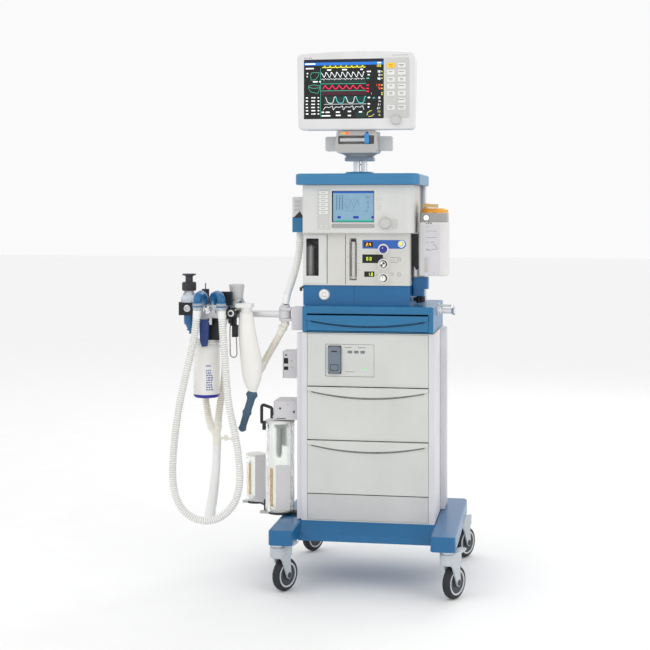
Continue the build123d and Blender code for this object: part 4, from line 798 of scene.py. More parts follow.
# ---------------------------------------------------------------- monitor
def make_monitor_screen():
    left, right, low, high = -201, 51, 1447, 1633
    glass = Screen("monitor_screen", "monitor", -115.2, (left + 1, right - 1), (low + 1, high - 1))
    patch, trace = glass.patch, glass.trace
    glass.put(bar((left, right), (low, high)), "screen_black", 0, thick=1.0)
    patch((0, 1), (0.955, 1), "screen_navy")
    patch((0, 1), (0.906, 0.955), "screen_blue")
    patch((0.22, 0.77), (0.855, 0.9), "screen_olive")
    patch((0.2, 0.78), (0.60, 0.648), "screen_deep")
    patch((0.22, 0.78), (0.40, 0.46), "screen_wine")
    patch((0.25, 0.78), (0.255, 0.375), "screen_deep")
    patch((0.65, 0.77), (0.02, 0.11), "screen_deep")
    patch((0.78, 0.99), (0.02, 0.15), "screen_navy")
    trace([(0.207, 0.86), (0.207, 0.03)], "screen_teal", 0.9)
    trace([(0.205, 0.592), (0.78, 0.588)], "screen_teal", 1.4)
    trace([(0.205, 0.474), (0.78, 0.472)], "screen_teal", 1.4)
    trace([(0.25, 0.245), (0.78, 0.245)], "screen_white", 0.8)
    for beat in range(8):
        u = 0.23 + beat * 0.068
        trace([(u, 0.868), (u + 0.02, 0.868), (u + 0.03, 0.898), (u + 0.04, 0.862), (u + 0.068, 0.868)],
              "screen_yellow", 2.0)
    for beat in range(8):
        u = 0.215 + beat * 0.068
        trace([(u, 0.78), (u + 0.018, 0.745), (u + 0.036, 0.70), (u + 0.05, 0.73), (u + 0.058, 0.79),
               (u + 0.068, 0.775)],
              "screen_white", 1.4)
        trace([(u, 0.665), (u + 0.02, 0.678), (u + 0.034, 0.655), (u + 0.05, 0.685), (u + 0.068, 0.665)],
              "screen_white", 0.9)
    for beat in range(6):
        u = 0.235 + beat * 0.088
        trace([(u, 0.505), (u + 0.016, 0.54), (u + 0.03, 0.566), (u + 0.05, 0.528), (u + 0.07, 0.502),
               (u + 0.088, 0.505)],
              "screen_red", 2.6)
    for breath in range(4):
        u = 0.27 + breath * 0.128
        colour = "screen_white" if breath % 2 == 0 else "screen_cyan"
        trace([(u, 0.37), (u + 0.01, 0.33), (u + 0.022, 0.285), (u + 0.045, 0.262), (u + 0.085, 0.262),
               (u + 0.098, 0.29), (u + 0.108, 0.36), (u + 0.128, 0.372)], colour, 1.3)
        trace([(u - 0.03, 0.15), (u, 0.20), (u + 0.05, 0.19), (u + 0.085, 0.215), (u + 0.095, 0.155),
               (u + 0.1, 0.148)],
              "screen_white", 1.1)
    loop = [(0.085, 0.66), (0.08, 0.74), (0.095, 0.785), (0.19, 0.785), (0.175, 0.72), (0.14, 0.665),
            (0.085, 0.66)]
    trace(loop, "screen_teal", 1.1)
    trace([(0.055, 0.56), (0.11, 0.578), (0.195, 0.565), (0.2, 0.53), (0.12, 0.515), (0.05, 0.54),
           (0.055, 0.56)],
          "screen_teal", 1.3)
    trace([(0.05, 0.53), (0.08, 0.46), (0.17, 0.43), (0.2, 0.52)], "screen_teal", 1.0)
    patch((0.07, 0.17), (0.53, 0.553), "screen_wine", 3)
    draw = random.Random(7)
    for row in range(6):
        v = 0.35 - row * 0.055
        for u, width in ((0.02, 0.022), (0.09, 0.014), (0.115, 0.018), (0.17, 0.016)):
            patch((u, u + width + draw.random() * 0.01), (v, v + 0.018), "screen_white", 4)
    for u, v, width in ((0.01, 0.922, 0.13), (0.92, 0.925, 0.05), (0.29, 0.815, 0.05), (0.48, 0.818, 0.06),
                        (0.71, 0.818, 0.03), (0.02, 0.845, 0.1), (0.03, 0.762, 0.02), (0.03, 0.71, 0.012),
                        (0.11, 0.62, 0.06), (0.19, 0.62, 0.02), (0.22, 0.1, 0.03), (0.27, 0.1, 0.05),
                        (0.4, 0.1, 0.05),
                        (0.55, 0.11, 0.04), (0.69, 0.1, 0.04), (0.22, 0.04, 0.11), (0.4, 0.045, 0.06),
                        (0.55, 0.04, 0.04), (0.79, 0.78, 0.05), (0.8, 0.725, 0.025), (0.8, 0.34, 0.03),
                        (0.8, 0.235, 0.03), (0.8, 0.18, 0.02)):
        patch((u, u + width), (v, v + 0.02), "screen_white", 4)
    for text, u, v, size, finish_name in (
            ("120", 0.905, 0.865, 7.5, "screen_yellow"), ("38", 0.925, 0.77, 6.5, "screen_white"),
            ("12", 0.925, 0.71, 6.5, "screen_white"), ("98", 0.925, 0.648, 6.5, "screen_white"),
            ("118", 0.9, 0.54, 7, "screen_orange"), ("76", 0.925, 0.485, 7, "screen_orange"),
            ("36", 0.93, 0.33, 5.5, "screen_white"), ("14", 0.93, 0.27, 5.5, "screen_white"),
            ("21", 0.93, 0.215, 5.5, "screen_white"), ("0.4", 0.92, 0.155, 5.5, "screen_white"),
            ("5.0", 0.925, 0.1, 5, "screen_yellow"), ("16", 0.93, 0.04, 5, "screen_yellow"),
            ("24", 0.865, 0.33, 5, "screen_cyan"), ("7", 0.84, 0.4, 5, "screen_yellow")):
        glass.number(text, u, v, size, finish_name, 4)
    for v in (0.775, 0.718, 0.66, 0.548, 0.49, 0.42, 0.39):
        patch((0.972, 0.984), (v, v + 0.022), "screen_yellow", 4)
    for v in (0.55, 0.495, 0.445):
        patch((0.785, 0.815), (v, v + 0.02), "screen_red", 4)
    patch((0.785, 0.82), (0.665, 0.685), "screen_teal", 4)
    trace([(0.79, 0.05), (0.8, 0.1), (0.83, 0.125), (0.85, 0.13)], "screen_yellow", 1.4)
    trace([(0.81, 0.03), (0.85, 0.035), (0.88, 0.07)], "screen_yellow", 1.4)
    glass.build()


def make_monitor_trim():
    plate = Face("monitor_key_plate", "monitor", "light_moulding", -119.9)
    plate.put(rounded((52.5, 131), (1447, 1634), 4), "key_plate", 1, thick=0.3)
    plate.build()
    keys = Shape("monitor_keys", "monitor", "light_moulding")
    marks = Face("monitor_key_marks", "monitor", "light_moulding", -122.6)
    draw = random.Random(3)
    for row in range(7):
        for column in (73, 107):
            if row == 5 and column == 73:
                continue
            z = 1603 - 21.7 * row
            colour = "key_yellow" if row == 0 and column == 73 else "key_light"
            keys.slab(rounded((column - 12.2, column + 12.2), (z - 0.2, z + 15.2), 3.2), (-122.4, -118),
                      colour)
            width = 5 + 7 * draw.random()
            marks.put(bar((column - width, column + width * 0.7), (z + 8.4, z + 10.2)),
                      "screen_orange" if colour == "key_yellow" else "print_grey")
            if row % 2 == 0:
                marks.put(bar((column - 5, column + 5), (z + 4.6, z + 6)), "print_grey")
    keys.build(bevel=0.9)
    marks.build()
    print_marks = Face("monitor_print", "monitor", "light_moulding", -120.0)
    for index, width in enumerate((5, 3, 6, 4)):
        print_marks.put(bar((-199 + 7 * index, -199 + 7 * index + width * 0.8), (1636.6, 1638.4)),
                        "print_dark")
    for index in range(9):
        print_marks.put(bar((78 + 5.4 * index, 81.6 + 5.4 * index), (1641.5, 1642.8)), "print_grey")
    print_marks.build()
    paint("monitor_bezel", "monitor_grey",
          ("screen_black", lambda x, y, z,
           n: -116 < y < -114 and n.y < -0.9 and -202 < x < 52 and 1446 < z < 1634))
    paint("monitor_case", "monitor_grey", zone("steel", z=(LOW, 1412)))
    paint("monitor_knob", "dial_grey")
    paint("monitor_dock", "dock_grey",
          ("black", lambda x, y, z,
           n: -97 < x < 19 and y > -99 and y < -71 and 1368 < z < 1397 and n.y < -0.5),
          ("soft_black", lambda x, y, z, n: 1410.5 < z and n.z > 0.5),
          zone("steel", x=(-93, 3), y=(-89, -70), z=(1377, 1389)),
          zone("lever_blue", x=(-12.5, 2.5), y=(LOW, -80), z=(1370.5, 1402.5)),
          zone("dock_light", x=(-146, 70), y=(-47, -25), z=(1349, 1397)))
    paint("monitor_mast", "post_white", zone("mast_plate", z=(1318, 1331)))
    strip = Face("dock_marks", "monitor_dock", "light_moulding", -100.0)
    strip.put(bar((-86, -70), (1400, 1406)), "key_yellow")
    strip.put(bar((-70, -62), (1399, 1407)), "screen_orange")
    strip.put(bar((-8, 0), (1402.4, 1407)), "knob_blue")
    strip.build()


# ---------------------------------------------------------------- display unit
def make_display():
    screen = Screen("display_screen", "root", -116.2, (-112, 21), (1125, 1223))
    patch = screen.patch
    patch((0, 1), (0, 1), "print_dark", 0)
    patch((0.025, 0.985), (0.02, 0.985), "field_blue", 1)
    patch((0.025, 0.985), (0.925, 0.985), "field_head")
    patch((0.1, 0.985), (0.02, 0.075), "field_foot")
    for u in (0.1, 0.17, 0.235):
        patch((u, u + 0.018), (0.38, 0.86), "field_line")
    for v in (0.45, 0.55, 0.65, 0.75):
        patch((0.1, 0.27), (v, v + 0.008), "field_line", 3)
    patch((0.3, 0.64), (0.735, 0.742), "field_line", 3)
    patch((0.3, 0.64), (0.36, 0.367), "field_line", 3)
    wave = [(0.3, 0.62), (0.33, 0.5), (0.37, 0.42), (0.41, 0.55), (0.44, 0.7), (0.48, 0.62), (0.52, 0.45),
            (0.56, 0.6),
            (0.6, 0.7), (0.64, 0.55)]
    screen.trace(wave, "field_line", 0.9, 3)
    for u, width in ((0.13, 0.08), (0.5, 0.13), (0.93, 0.05)):
        patch((u, u + width), (0.12, 0.2), "field_key")
    for text, u, v, size in (("24", 0.8, 0.75, 8), ("12", 0.8, 0.6, 7), ("6", 0.84, 0.46, 7),
                             ("5.0", 0.78, 0.34, 5)):
        screen.number(text, u, v, size, "field_line", 3)
    for v in (0.5, 0.58):
        patch((0.0, 0.025), (v, v + 0.1), "print_dark", 3)
    screen.build()

    strips = Face("display_trim", "root", "light_moulding", -121.3)
    strips.put(rounded((-112, 21), (1107.5, 1120.5), 2), "band_grey", 0)
    strips.puts([bar((-100 + 11 * i, -97 + 11 * i), (1112, 1113.2)) for i in range(11)], "plate_grey", 1)
    strips.build()
    keys = Face("display_key_marks", "root", "light_moulding", -122.05)
    for row in range(6):
        z = 1151 + 12.4 * row
        keys.put(bar((-146, -146 + 14), (z + 4, z + 5.1)), "print_grey")
    for x in (-145.5, -128.5):
        keys.put(disc(x, 1111.5, 1.3, 12), "print_grey")
    for z in (1173, 1193):
        keys.put(disc(36, z, 1.8, 14), "print_dark")
    keys.build()
    rims = Shape("display_button_rims", "root", "light_moulding")
    for z in (1173, 1193):
        rims.lathe((36, -120, z), FRONT, [(0, 7), (1.2, 7), (1.8, 6.2), (1.8, 5.2)], "key_plate")
    rims.lathe((56, -119.5, 1122), FRONT, [(0, 21), (1.0, 21), (1.6, 20), (1.6, 17.6)], "key_plate")
    rims.build()
    paint("display_housing", "shell_white",
          zone("key_plate", x=(-159, -117), y=(-121.2, -120.2), z=(1102, 1229)),
          zone("key_light", x=(-153, -122), y=(LOW, -121.2), z=(1106, 1228)),
          zone("key_light", x=(30, 42), y=(LOW, -120.5), z=(1165, 1200)),
          zone("key_plate", x=(76, 94), y=(LOW, -120.5), z=(1104, 1137)),
          zone("print_dark", x=(-113, 22), y=(-119, -115), z=(1124, 1224)))
    paint("display_knob", "dial_grey")
    paint("top_shelf", "slab_blue")
    paint("side_module", "box_grey",
          zone("soft_black", z=(1137, 1150)),
          ("drawer_blue", lambda x, y, z, n: z <= 1139),
          zone("plate_grey", y=(LOW, -62.6), z=(1159, 1200)))


# ---------------------------------------------------------------- gas panel
def make_gas_panel():
    panel = Face("flow_panel_marks", "root", "light_moulding", -100.0)
    band = [(-19, 1043), (104, 1043)]
    band += [polar(104, 1056.5, 13.5, a) for a in range(-80, 81, 10)]
    band += [(104, 1070), (-19, 1070)]
    panel.put(band, "band_blue", 1)
    panel.put(disc(103, 1057.5, 10.6), "screen_white", 2)
    panel.put(disc(103, 1057.5, 9.2), "key_plate", 20)
    panel.put(disc(101, 1059, 4.5, 16), "digit_lime", 21)
    panel.put(bar((-13, 14), (1048, 1064)), "readout", 2)
    panel.puts(numerals("2.4", -7, 1051, 9.5), "digit_amber", 3)
    panel.put(rounded((-19, 46), (998, 1025), 1.5), "readout", 1)
    panel.puts(numerals("0.0", -6, 1006.5, 10), "digit_lime", 2)
    panel.put(rounded((-13, 19), (955, 972), 1), "readout", 1)
    panel.puts(numerals("1.8", -1, 958.5, 9.5), "digit_lime", 2)
    for z in (984, 938):
        panel.put(bar((38, 56), (z + 28, z + 29.2)), "print_grey")
    for x, z, width in ((68, 1015, 22), (66, 1007, 18), (68, 1000, 24), (67, 966, 14), (70, 960, 10)):
        panel.put(bar((x, x + width), (z, z + 1.2)), "print_grey")
    for z in (1010, 963):
        panel.put(disc(96, z, 6.4), "print_grey", 1)
        panel.put(disc(96, z, 5.4), "panel_warm", 2)
        panel.put(bar((93, 99), (z - 1.6, z - 0.6)), "print_grey", 3)
        panel.put(bar((94, 97), (z + 1, z + 2)), "print_grey", 3)
    panel.put(disc(27, 962, 1.4, 12), "print_dark", 1)
    for index in range(11):
        z = 958 + 9.8 * index
        panel.put(bar((-34, -34 + (3.4 if index % 2 else 6)), (z, z + 0.8)), "print_grey")
        if index % 2 == 0:
            panel.puts(numerals(str(index // 2), -70 + 4, z - 1.4, 3.4), "print_grey", 1)
    panel.build()

    glassware = Shape("flow_tube_glass", "root", "jar_clear")
    glassware.lathe((*FLOW_TUBE, 956), UP, [(0, 7.3), (2, 7.9), (8, 7.9), (9, 7.2), (100, 7.2), (101, 7.9),
                                                 (107, 7.9), (108, 7.2)], "pane")
    glassware.build()
    tube = Shape("flow_tube_fittings", "root", "dark_plastic")
    tube.lathe((*FLOW_TUBE, 1064), UP, [(0, 8), (2, 9), (7, 9), (8, 8)], "soft_black")
    tube.lathe((*FLOW_TUBE, 948), UP, [(0, 9), (1, 10.5), (7, 10.5), (8, 8)], "plate_grey")
    tube.lathe((*FLOW_TUBE, 1016), UP, [(0, 1.5), (3, 4.2), (7, 4.2), (9, 2), (10, 0.8)], "print_dark")
    tube.slab(bar((-62, -34), (943, 1076)), (-79.8, -78.6), "panel_warm")
    for x in (-58, -38):
        tube.lathe((x, -90, 950), UP, [(0, 1.0), (122, 1.0)], "steel", around=12)
    tube.build()

    caps = {"oxygen": "knob_blue", "nitrous": "knob_white", "air": "knob_white"}
    for gas, cap in caps.items():
        side = "knob_blue" if gas == "oxygen" else "soft_black"
        paint(f"flow_knob_{gas}", side, zone(cap, y=(LOW, -118.5)))
    quarter = Face("nitrous_knob_mark", "flow_knob_nitrous", "knob_plastic", -121.1)
    for start in (0, 180):
        wedge = [(47, 995)] + [polar(47, 995, 7.6, a) for a in range(start, start + 91, 15)]
        quarter.put(wedge, "print_dark")
    quarter.build()
    for gas, z in (("oxygen", 1041), ("air", 951)):
        pointer = Face(f"{gas}_knob_mark", f"flow_knob_{gas}", "knob_plastic", -121.1)
        pointer.put(bar((46.3, 47.7), (z + 2, z + 7.4)), "print_white" if gas == "oxygen" else "print_dark")
        pointer.build()

    paint("flow_panel", "panel_warm",
          zone("knob_white", x=(29, 65), y=(LOW, -100.2), z=(LOW, 1065)),
          zone("key_plate", x=(92, 112), y=(LOW, -100.2)))
    paint("gas_chassis", "panel_warm",
          ("soft_black", lambda x, y, z, n: y > -91 and abs(n.z) < 0.5 and y < 175 and -204 < x < 125))
    paint("ventilator_door", "shell_white",
          ("window_grey", lambda x, y, z,
           n: n.y > -0.5 and -198 < x < -156 and 956 < z < 1075 and y > -99 and y < -91))
    paint("ventilator_unit", "black",
          zone("window_grey", x=(LOW, -174), y=(LOW, -40), z=(LOW, 1048)),
          zone("steel", x=(-166, -154), y=(LOW, -50), z=(953, HIGH)))
    pane = Shape("ventilator_pane", "ventilator_door", "jar_clear")
    pane.slab(rounded((-197.4, -156.6), (956.6, 1074.4), 2), (-95.5, -94), "pane")
    pane.build(smooth=False)
    handle = Shape("ventilator_door_pull", "ventilator_door", "light_moulding")
    handle.slab(rounded((-137, -133), (990, 1040), 1.5), (-101.2, -99.5), "panel_warm")
    handle.build(bevel=0.5)


# ---------------------------------------------------------------- plinth, worktop, cabinet
def make_body_finishes():
    paint("plinth_housing", "plinth_blue", zone("soft_black", x=(LOW, -208.3)))
    paint("flush_button", "knob_white")
    ring_piece = Shape("flush_button_ring", "root", "knob_plastic")
    ring_piece.lathe((-140, -94.5, 898), FRONT, [(0, 17.6), (1.4, 17.6), (2, 16.8), (2, 15.8)], "key_plate")
    ring_piece.build()
    mark = Face("flush_button_mark", "flush_button", "knob_plastic", -101.2)
    mark.puts(ribbon([polar(-140, 898, 6.5, a) for a in range(30, 331, 20)], 1.0), "print_grey")
    mark.puts(numerals("2", -134.6, 891, 4), "print_grey")
    mark.build()
    # painted shade: the faces in and behind the worktop's drawer opening, and the drawer's body behind its
    # front, take soft black so that the gap under the drawer's lip reads dark
    paint("worktop", "drawer_blue", zone("soft_black", x=(-190, 190), y=(-126, HIGH), z=(784.5, 838)))
    paint("worktop_drawer", "drawer_blue", zone("soft_black", y=(-104, HIGH)))
    paint("cabinet_shell", "cabinet_grey",
          ("pillar_grey", lambda x, y, z, n: abs(x) > 189 and y < 236),
          # painted shade: the shell's inside faces take soft black, so the gaps between drawers and panels
          # read dark
          ("soft_black", lambda x, y, z, n: abs(x) < 207 and -101 < y < 234 and 198 < z < 779))
    paint("front_panels", "cabinet_grey", zone("kick_grey", z=(LOW, 278)))
    for node in ("lower_drawer", "upper_drawer"):
        paint(node, "cabinet_grey", zone("plate_grey", y=(-103, HIGH)))
    paint("rear_panel", "plate_grey",
          zone("steel", y=(238, HIGH), z=(520, 570)),
          zone("soft_black", x=(-42, 42), y=(242, HIGH), z=(399, 441)))
    paint("gas_module", "cabinet_grey",
          zone("lamp_green", x=(-11, -5), y=(LOW, -119.6), z=(668, 674)),
          zone("print_grey", x=(-63, 0), y=(LOW, -119.8), z=(717, 727)),
          zone("soft_black", x=(-125, -81), y=(-117, -90), z=(652, 742)))
    paint("water_trap", "trap_smoke")
    paint("side_rails", "rail_metal",
          ("pillar_grey", lambda x, y, z, n: z < 780 and abs(x) > 208),
          zone("pillar_grey", y=(140, HIGH), z=(864.5, HIGH)))
    paint("base_frame", "base_blue")


def screws(name, body, slot, y, places, radius=2.6, finish_name="steel"):
    """Cross-slotted screw heads facing the front or the rear."""
    heads = Shape(name, body, slot)
    direction = -1 if y < 0 else 1
    for x, z in places:
        heads.lathe((x, y - direction * 0.3, z), (0, direction, 0),
                    [(0, radius), (0.9, radius), (1.5, radius * 0.7), (1.6, radius * 0.2)], finish_name,
                    around=18)
        front = y + direction * 1.35
        heads.slab(bar((x - radius * 0.6, x + radius * 0.6), (z - 0.3, z + 0.3)), (front, front + 0.1),
                   "print_dark")
        heads.slab(bar((x - 0.3, x + 0.3), (z - radius * 0.6, z + radius * 0.6)), (front, front + 0.1),
                   "print_dark")
    heads.build()


def make_cabinet_details():
    trap = Face("water_trap_marks", "water_trap", "trap_plastic", -130.95)
    trap.put(rounded((-116, -90), (664, 684), 4), "print_dark", 1)
    trap.put(rounded((-114, -92), (666, 682), 3), "trap_smoke", 2)
    trap.put(bar((-112, -94), (722, 726)), "print_dark", 1)
    trap.build()
    label = Face("module_marks", "root", "cabinet_paint", -119.6)
    label.put(bar((-71, -50), (735, 736.8)), "print_grey")
    label.put(bar((-30, -6), (735, 736.8)), "print_grey")
    label.put(bar((-70, -40), (660, 661.2)), "print_grey")
    label.build()
    screws("rear_panel_screws", "root", "cabinet_paint", 239.2,
           [(x, z) for x in (-176, 176) for z in (224, 408, 592)] + [(x, z) for x in (-54,
                                                                                      54) for z in (366,
                                                                                                    474)])
    screws("gas_rear_screws", "root", "light_moulding", 180.2,
           [(x, z) for x in (-198, 119) for z in (938, 1078)])


# ---------------------------------------------------------------- casters
def make_caster_finishes():
    for end in ("front", "rear"):
        for side in ("left", "right"):
            paint(f"caster_fork_{end}_{side}", "fork_grey", zone("steel", z=(143, HIGH)))
            low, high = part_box(f"caster_wheel_{end}_{side}")
            middle = local((low + high) / 2)
            turn = math.radians(CASTER_TURN)
            axle = Vector((-math.sin(turn), math.cos(turn), 0))

            def from_axle(x, y, z, middle=middle, axle=axle):
                offset = Vector((x, y, z)) - middle
                return (offset - axle * offset.dot(axle)).length

            paint(f"caster_wheel_{end}_{side}", "tyre",
                  ("wheel_ring", lambda x, y, z, n, r=from_axle: 31 < r(x, y, z) < 37.5),
                  ("hub_dark", lambda x, y, z, n, r=from_axle: r(x, y, z) <= 31))
            caps = Shape(f"axle_caps_{end}_{side}", f"caster_{end}_{side}", "caster_grey")
            for way in (-1, 1):
                caps.lathe(middle + axle * way * 19, axle * way, [(-0.5, 9), (1.2, 9), (2.6, 7), (3.0, 3)],
                           "hub_dark",
                           around=24)
            caps.build()
    for side in ("left", "right"):
        paint(f"brake_pedal_{side}", "fork_grey")


# ---------------------------------------------------------------- vaporizer and right side
def make_vaporizer():
    paint("vaporizer_body", "vapor_grey",
          zone("band_grey", y=(LOW, 43), z=(1125.5, 1153.8)),
          zone("key_light", x=(168, 186), y=(LOW, -60.5), z=(1130, 1148)),
          zone("vapor_plate", x=(165, 220), y=(LOW, -62.2), z=(LOW, 1118)),
          zone("steel", x=(156, 176), y=(39, 64), z=(1099, HIGH)))
    paint("vaporizer_dial", "dial_amber")
    paint("vaporizer_lever", "lever_tan")
    paint("outlet_block", "plinth_blue",
          zone("black", x=(130, HIGH), y=(LOW, 6), z=(953, HIGH)),
          zone("black", z=(LOW, 893)))
    marks = Face("vaporizer_marks", "root", "light_moulding", -63.6)
    marks.put(bar((176, 211), (1097, 1098)), "print_grey", 1)
    marks.put(bar((176, 211), (1077, 1078)), "print_grey", 1)
    for x, z, width, tall in ((177, 1062, 7, 1.4), (190, 1062, 11, 1.4), (177, 1040, 9, 1.2),
                              (200, 1040, 9, 1.2),
                              (206, 1090, 3, 1.2), (176, 1110, 10, 1.2)):
        marks.put(bar((x, x + width), (z, z + tall)), "print_grey", 1)
    curve = [(188 + 12 * math.cos(math.radians(a)),
              1046 + 9 * math.sin(math.radians(a))) for a in range(200, 341, 14)]
    marks.puts(ribbon(curve, 1.0), "print_grey", 1)
    marks.puts(ribbon([(198, 1056), (205, 1055), (212, 1040)], 1.5), "print_grey", 1)
    for step in range(9):
        marks.put(bar((184, 184 + (6 if step % 4 == 0 else 3.5)), (970 + 5.4 * step, 970.7 + 5.4 * step)),
                  "print_grey", 1)
    marks.put(disc(202, 966.5, 1.0, 12), "print_dark", 1)
    marks.build()
    sight = Shape("vaporizer_sight", "root", "jar_clear")
    sight.slab(rounded((173.6, 181.4), (968.8, 1017.2), 3), (-66.0, -64.4), "clear_cuff")
    sight.slab(rounded((174.8, 180.2), (970, 994), 2.4), (-65.4, -64.8), "dial_amber")
    sight.build(bevel=0.3)
    dots = Face("vaporizer_dots", "root", "light_moulding", -61.9)
    dots.put(disc(185, 1122.4, 2.6, 14), "green", 2)
    dots.put(disc(192, 1121.8, 2.2, 14), "print_dark", 2)
    dots.put(disc(178, 1121.4, 1.8, 14), "print_dark", 2)
    dots.build()
    button = Shape("vaporizer_button", "root", "knob_plastic")
    button.lathe((177, -65.8, 1139), FRONT, [(0, 7.6), (0.9, 7.6), (1.4, 7), (1.4, 5), (0.9, 4.4)],
                 "screen_white")
    button.build()
    knurl = Shape("vaporizer_dial_marks", "vaporizer_dial", "dial_yellow")
    for index in range(36):
        a = math.radians(10 * index + 5)
        radius = 43.1
        x, y = polar(*VAPORIZER_DIAL, radius, 10 * index + 5)
        knurl.lathe((x - 0.9 * math.cos(a), y - 0.9 * math.sin(a), 1156.4), UP,
                    [(0, 1.2), (0.8, 1.7), (6.0, 1.7), (7, 1.1)], "dial_amber", around=10)
    knurl.build()
    pull = Shape("push_handle_grip", "root", "aluminium_profile")
    pull.lathe((211, 0, 845), RIGHT, [(0, 9.3), (1, 9.9), (5, 9.9), (6, 9.3)], "chrome")
    pull.lathe((257, 0, 845), RIGHT, [(0, 13.4), (1.5, 14.6), (5, 14.6), (6.4, 13), (6.4, 8)], "chrome")
    pull.build()


# ---------------------------------------------------------------- left side jars and boxes
def glass_jar(shape, x, y, low, high, radius):
    wall = 2.4
    shape.lathe((x, y, low), UP,
                [(3, 0.1), (3, radius - 7), (5, radius - wall - 1), (high - low - 4, radius - wall),
                 (high - low, radius - wall), (high - low, radius), (high - low - 5, radius + 0.6),
                 (high - low - 7, radius),
                 (5, radius), (1, radius - 2), (0, radius - 5), (0, 0.1)], "clear", around=56, close=False)


def make_jars():
    glassware = Shape("jar_glass", "root", "jar_clear")
    glass_jar(glassware, *LARGE_JAR, JAR_FLOOR, 484, 46.5)
    glass_jar(glassware, *SMALL_JAR, JAR_FLOOR, 352, 32.5)
    jars = glassware.build()
    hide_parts("suction_jars")
    lids = Shape("jar_lids", "root", "jar_clear")
    lids.lathe((*LARGE_JAR, 485), UP, [(0, 46.6), (6, 47.2), (8, 46.2), (11, 40), (11.6, 30)], "key_light",
               around=48)
    lids.lathe((*SMALL_JAR, 353), UP, [(0, 32.6), (4, 33.2), (5, 32), (7.4, 26)], "key_light", around=40)
    lids.lathe((*LARGE_JAR, 496.4), UP, [(0, 16), (1.4, 16), (2, 14)], "plate_grey", around=30)
    lids.build()
    scales = Shape("jar_scales", "root", "jar_clear")
    for jar, radius, low, high, toward in ((LARGE_JAR, 44.0, 222, 344, -118),
                                           (SMALL_JAR, 30.2, 226, 330, -122)):
        a = math.radians(toward)
        along = Vector((-math.sin(a), math.cos(a), 0))
        centre = Vector((*jar, 0)) + Vector((math.cos(a), math.sin(a), 0)) * radius
        def stripe(half, bottom, top, finish_name, lift=0.0, slip=0.0):
            out = Vector((math.cos(a), math.sin(a), 0))
            corners = []
            for sign, depth in ((-1, 0), (1, 0), (1, 0.5), (-1, 0.5)):
                corners.append(centre + along * (sign * half + slip) + out * (lift - depth))
            points = [(c.x, c.y, bottom) for c in corners] + [(c.x, c.y, top) for c in corners]
            scales.add(points, [(3, 2, 1, 0), (4, 5, 6, 7), (0, 1, 5, 4), (1, 2, 6, 5), (2, 3, 7, 6),
                                (3, 0, 4, 7)],
                       finish_name)
        stripe(6.5, low, high, "scale_tan")
        count = 12
        for step in range(count):
            z = low + 4 + (high - low - 8) * step / (count - 1)
            stripe(3.4 if step % 3 else 5.4, z, z + 1.1, "print_dark" if step % 3 == 0 else "lever_tan", 0.3)
        stripe(0.5, low - 8, high + 6, "lever_tan", 0.3, slip=-7.6)
    scales.build(smooth=False)
    paint("jar_bracket", "jar_label",
          zone("soft_black", z=(LOW, 203.5)),
          zone("window_grey", x=(-313, -262), y=(-61, HIGH), z=(316, HIGH)),
          zone("soft_black", x=(-351, -341), z=(LOW, 233)),
          zone("plate_grey", x=(-357, -321), y=(-63, -39), z=(LOW, 204)),
          zone("plate_grey", x=(-447, -423), y=(83, 105), z=(LOW, 204)))
    valve = Shape("jar_valve", "root", "dark_plastic")
    valve.lathe((-296, -40, 373), UP,
                [(0, 5), (1, 6.4), (9, 6.4), (10, 9.4), (46, 9.4), (47, 8.8), (92, 8.8), (94, 11),
                                              (110, 11)], "window_grey", around=36)
    valve.lathe((-279, -40, 410), UP, [(0, 6), (2, 7.9), (60, 7.9), (62, 9), (74, 9)], "band_grey", around=28)
    valve.build()


def make_side_boxes():
    paint("side_boxes", "box_grey",
          zone("soft_black", x=(LOW, -306.2), y=(LOW, -64)),
          zone("print_dark", x=(-290, HIGH), y=(LOW, -82.5), z=(520, 542)),
          zone("black", x=(-276.5, -259.5), y=(-65.9, -59), z=(655, 707)))
    marks = Face("side_box_marks", "root", "cabinet_paint", -66.0)
    marks.puts([bar((-254, -246), (682, 688)), bar((-254, -243), (662, 666))], "plate_grey", 1)
    marks.puts([disc(-222, 664, 1.6, 14), disc(-222, 656, 1.4, 14)], "print_dark", 1)
    marks.build()
    lower = Face("side_box_ports", "root", "cabinet_paint", -82.0)
    lower.put(rounded((-296, -266), (503, 505.4), 1), "print_dark", 1)
    lower.puts([bar((-262, -256), (544, 551))], "plate_grey", 1)
    lower.build()
    flex = Shape("side_box_cable_clip", "root", "dark_plastic")
    flex.lathe((-240, -30, 714), (0.4, 0, 1), [(0, 3.6), (6, 3.2), (14, 2.0)], "box_grey", around=18)
    flex.build()


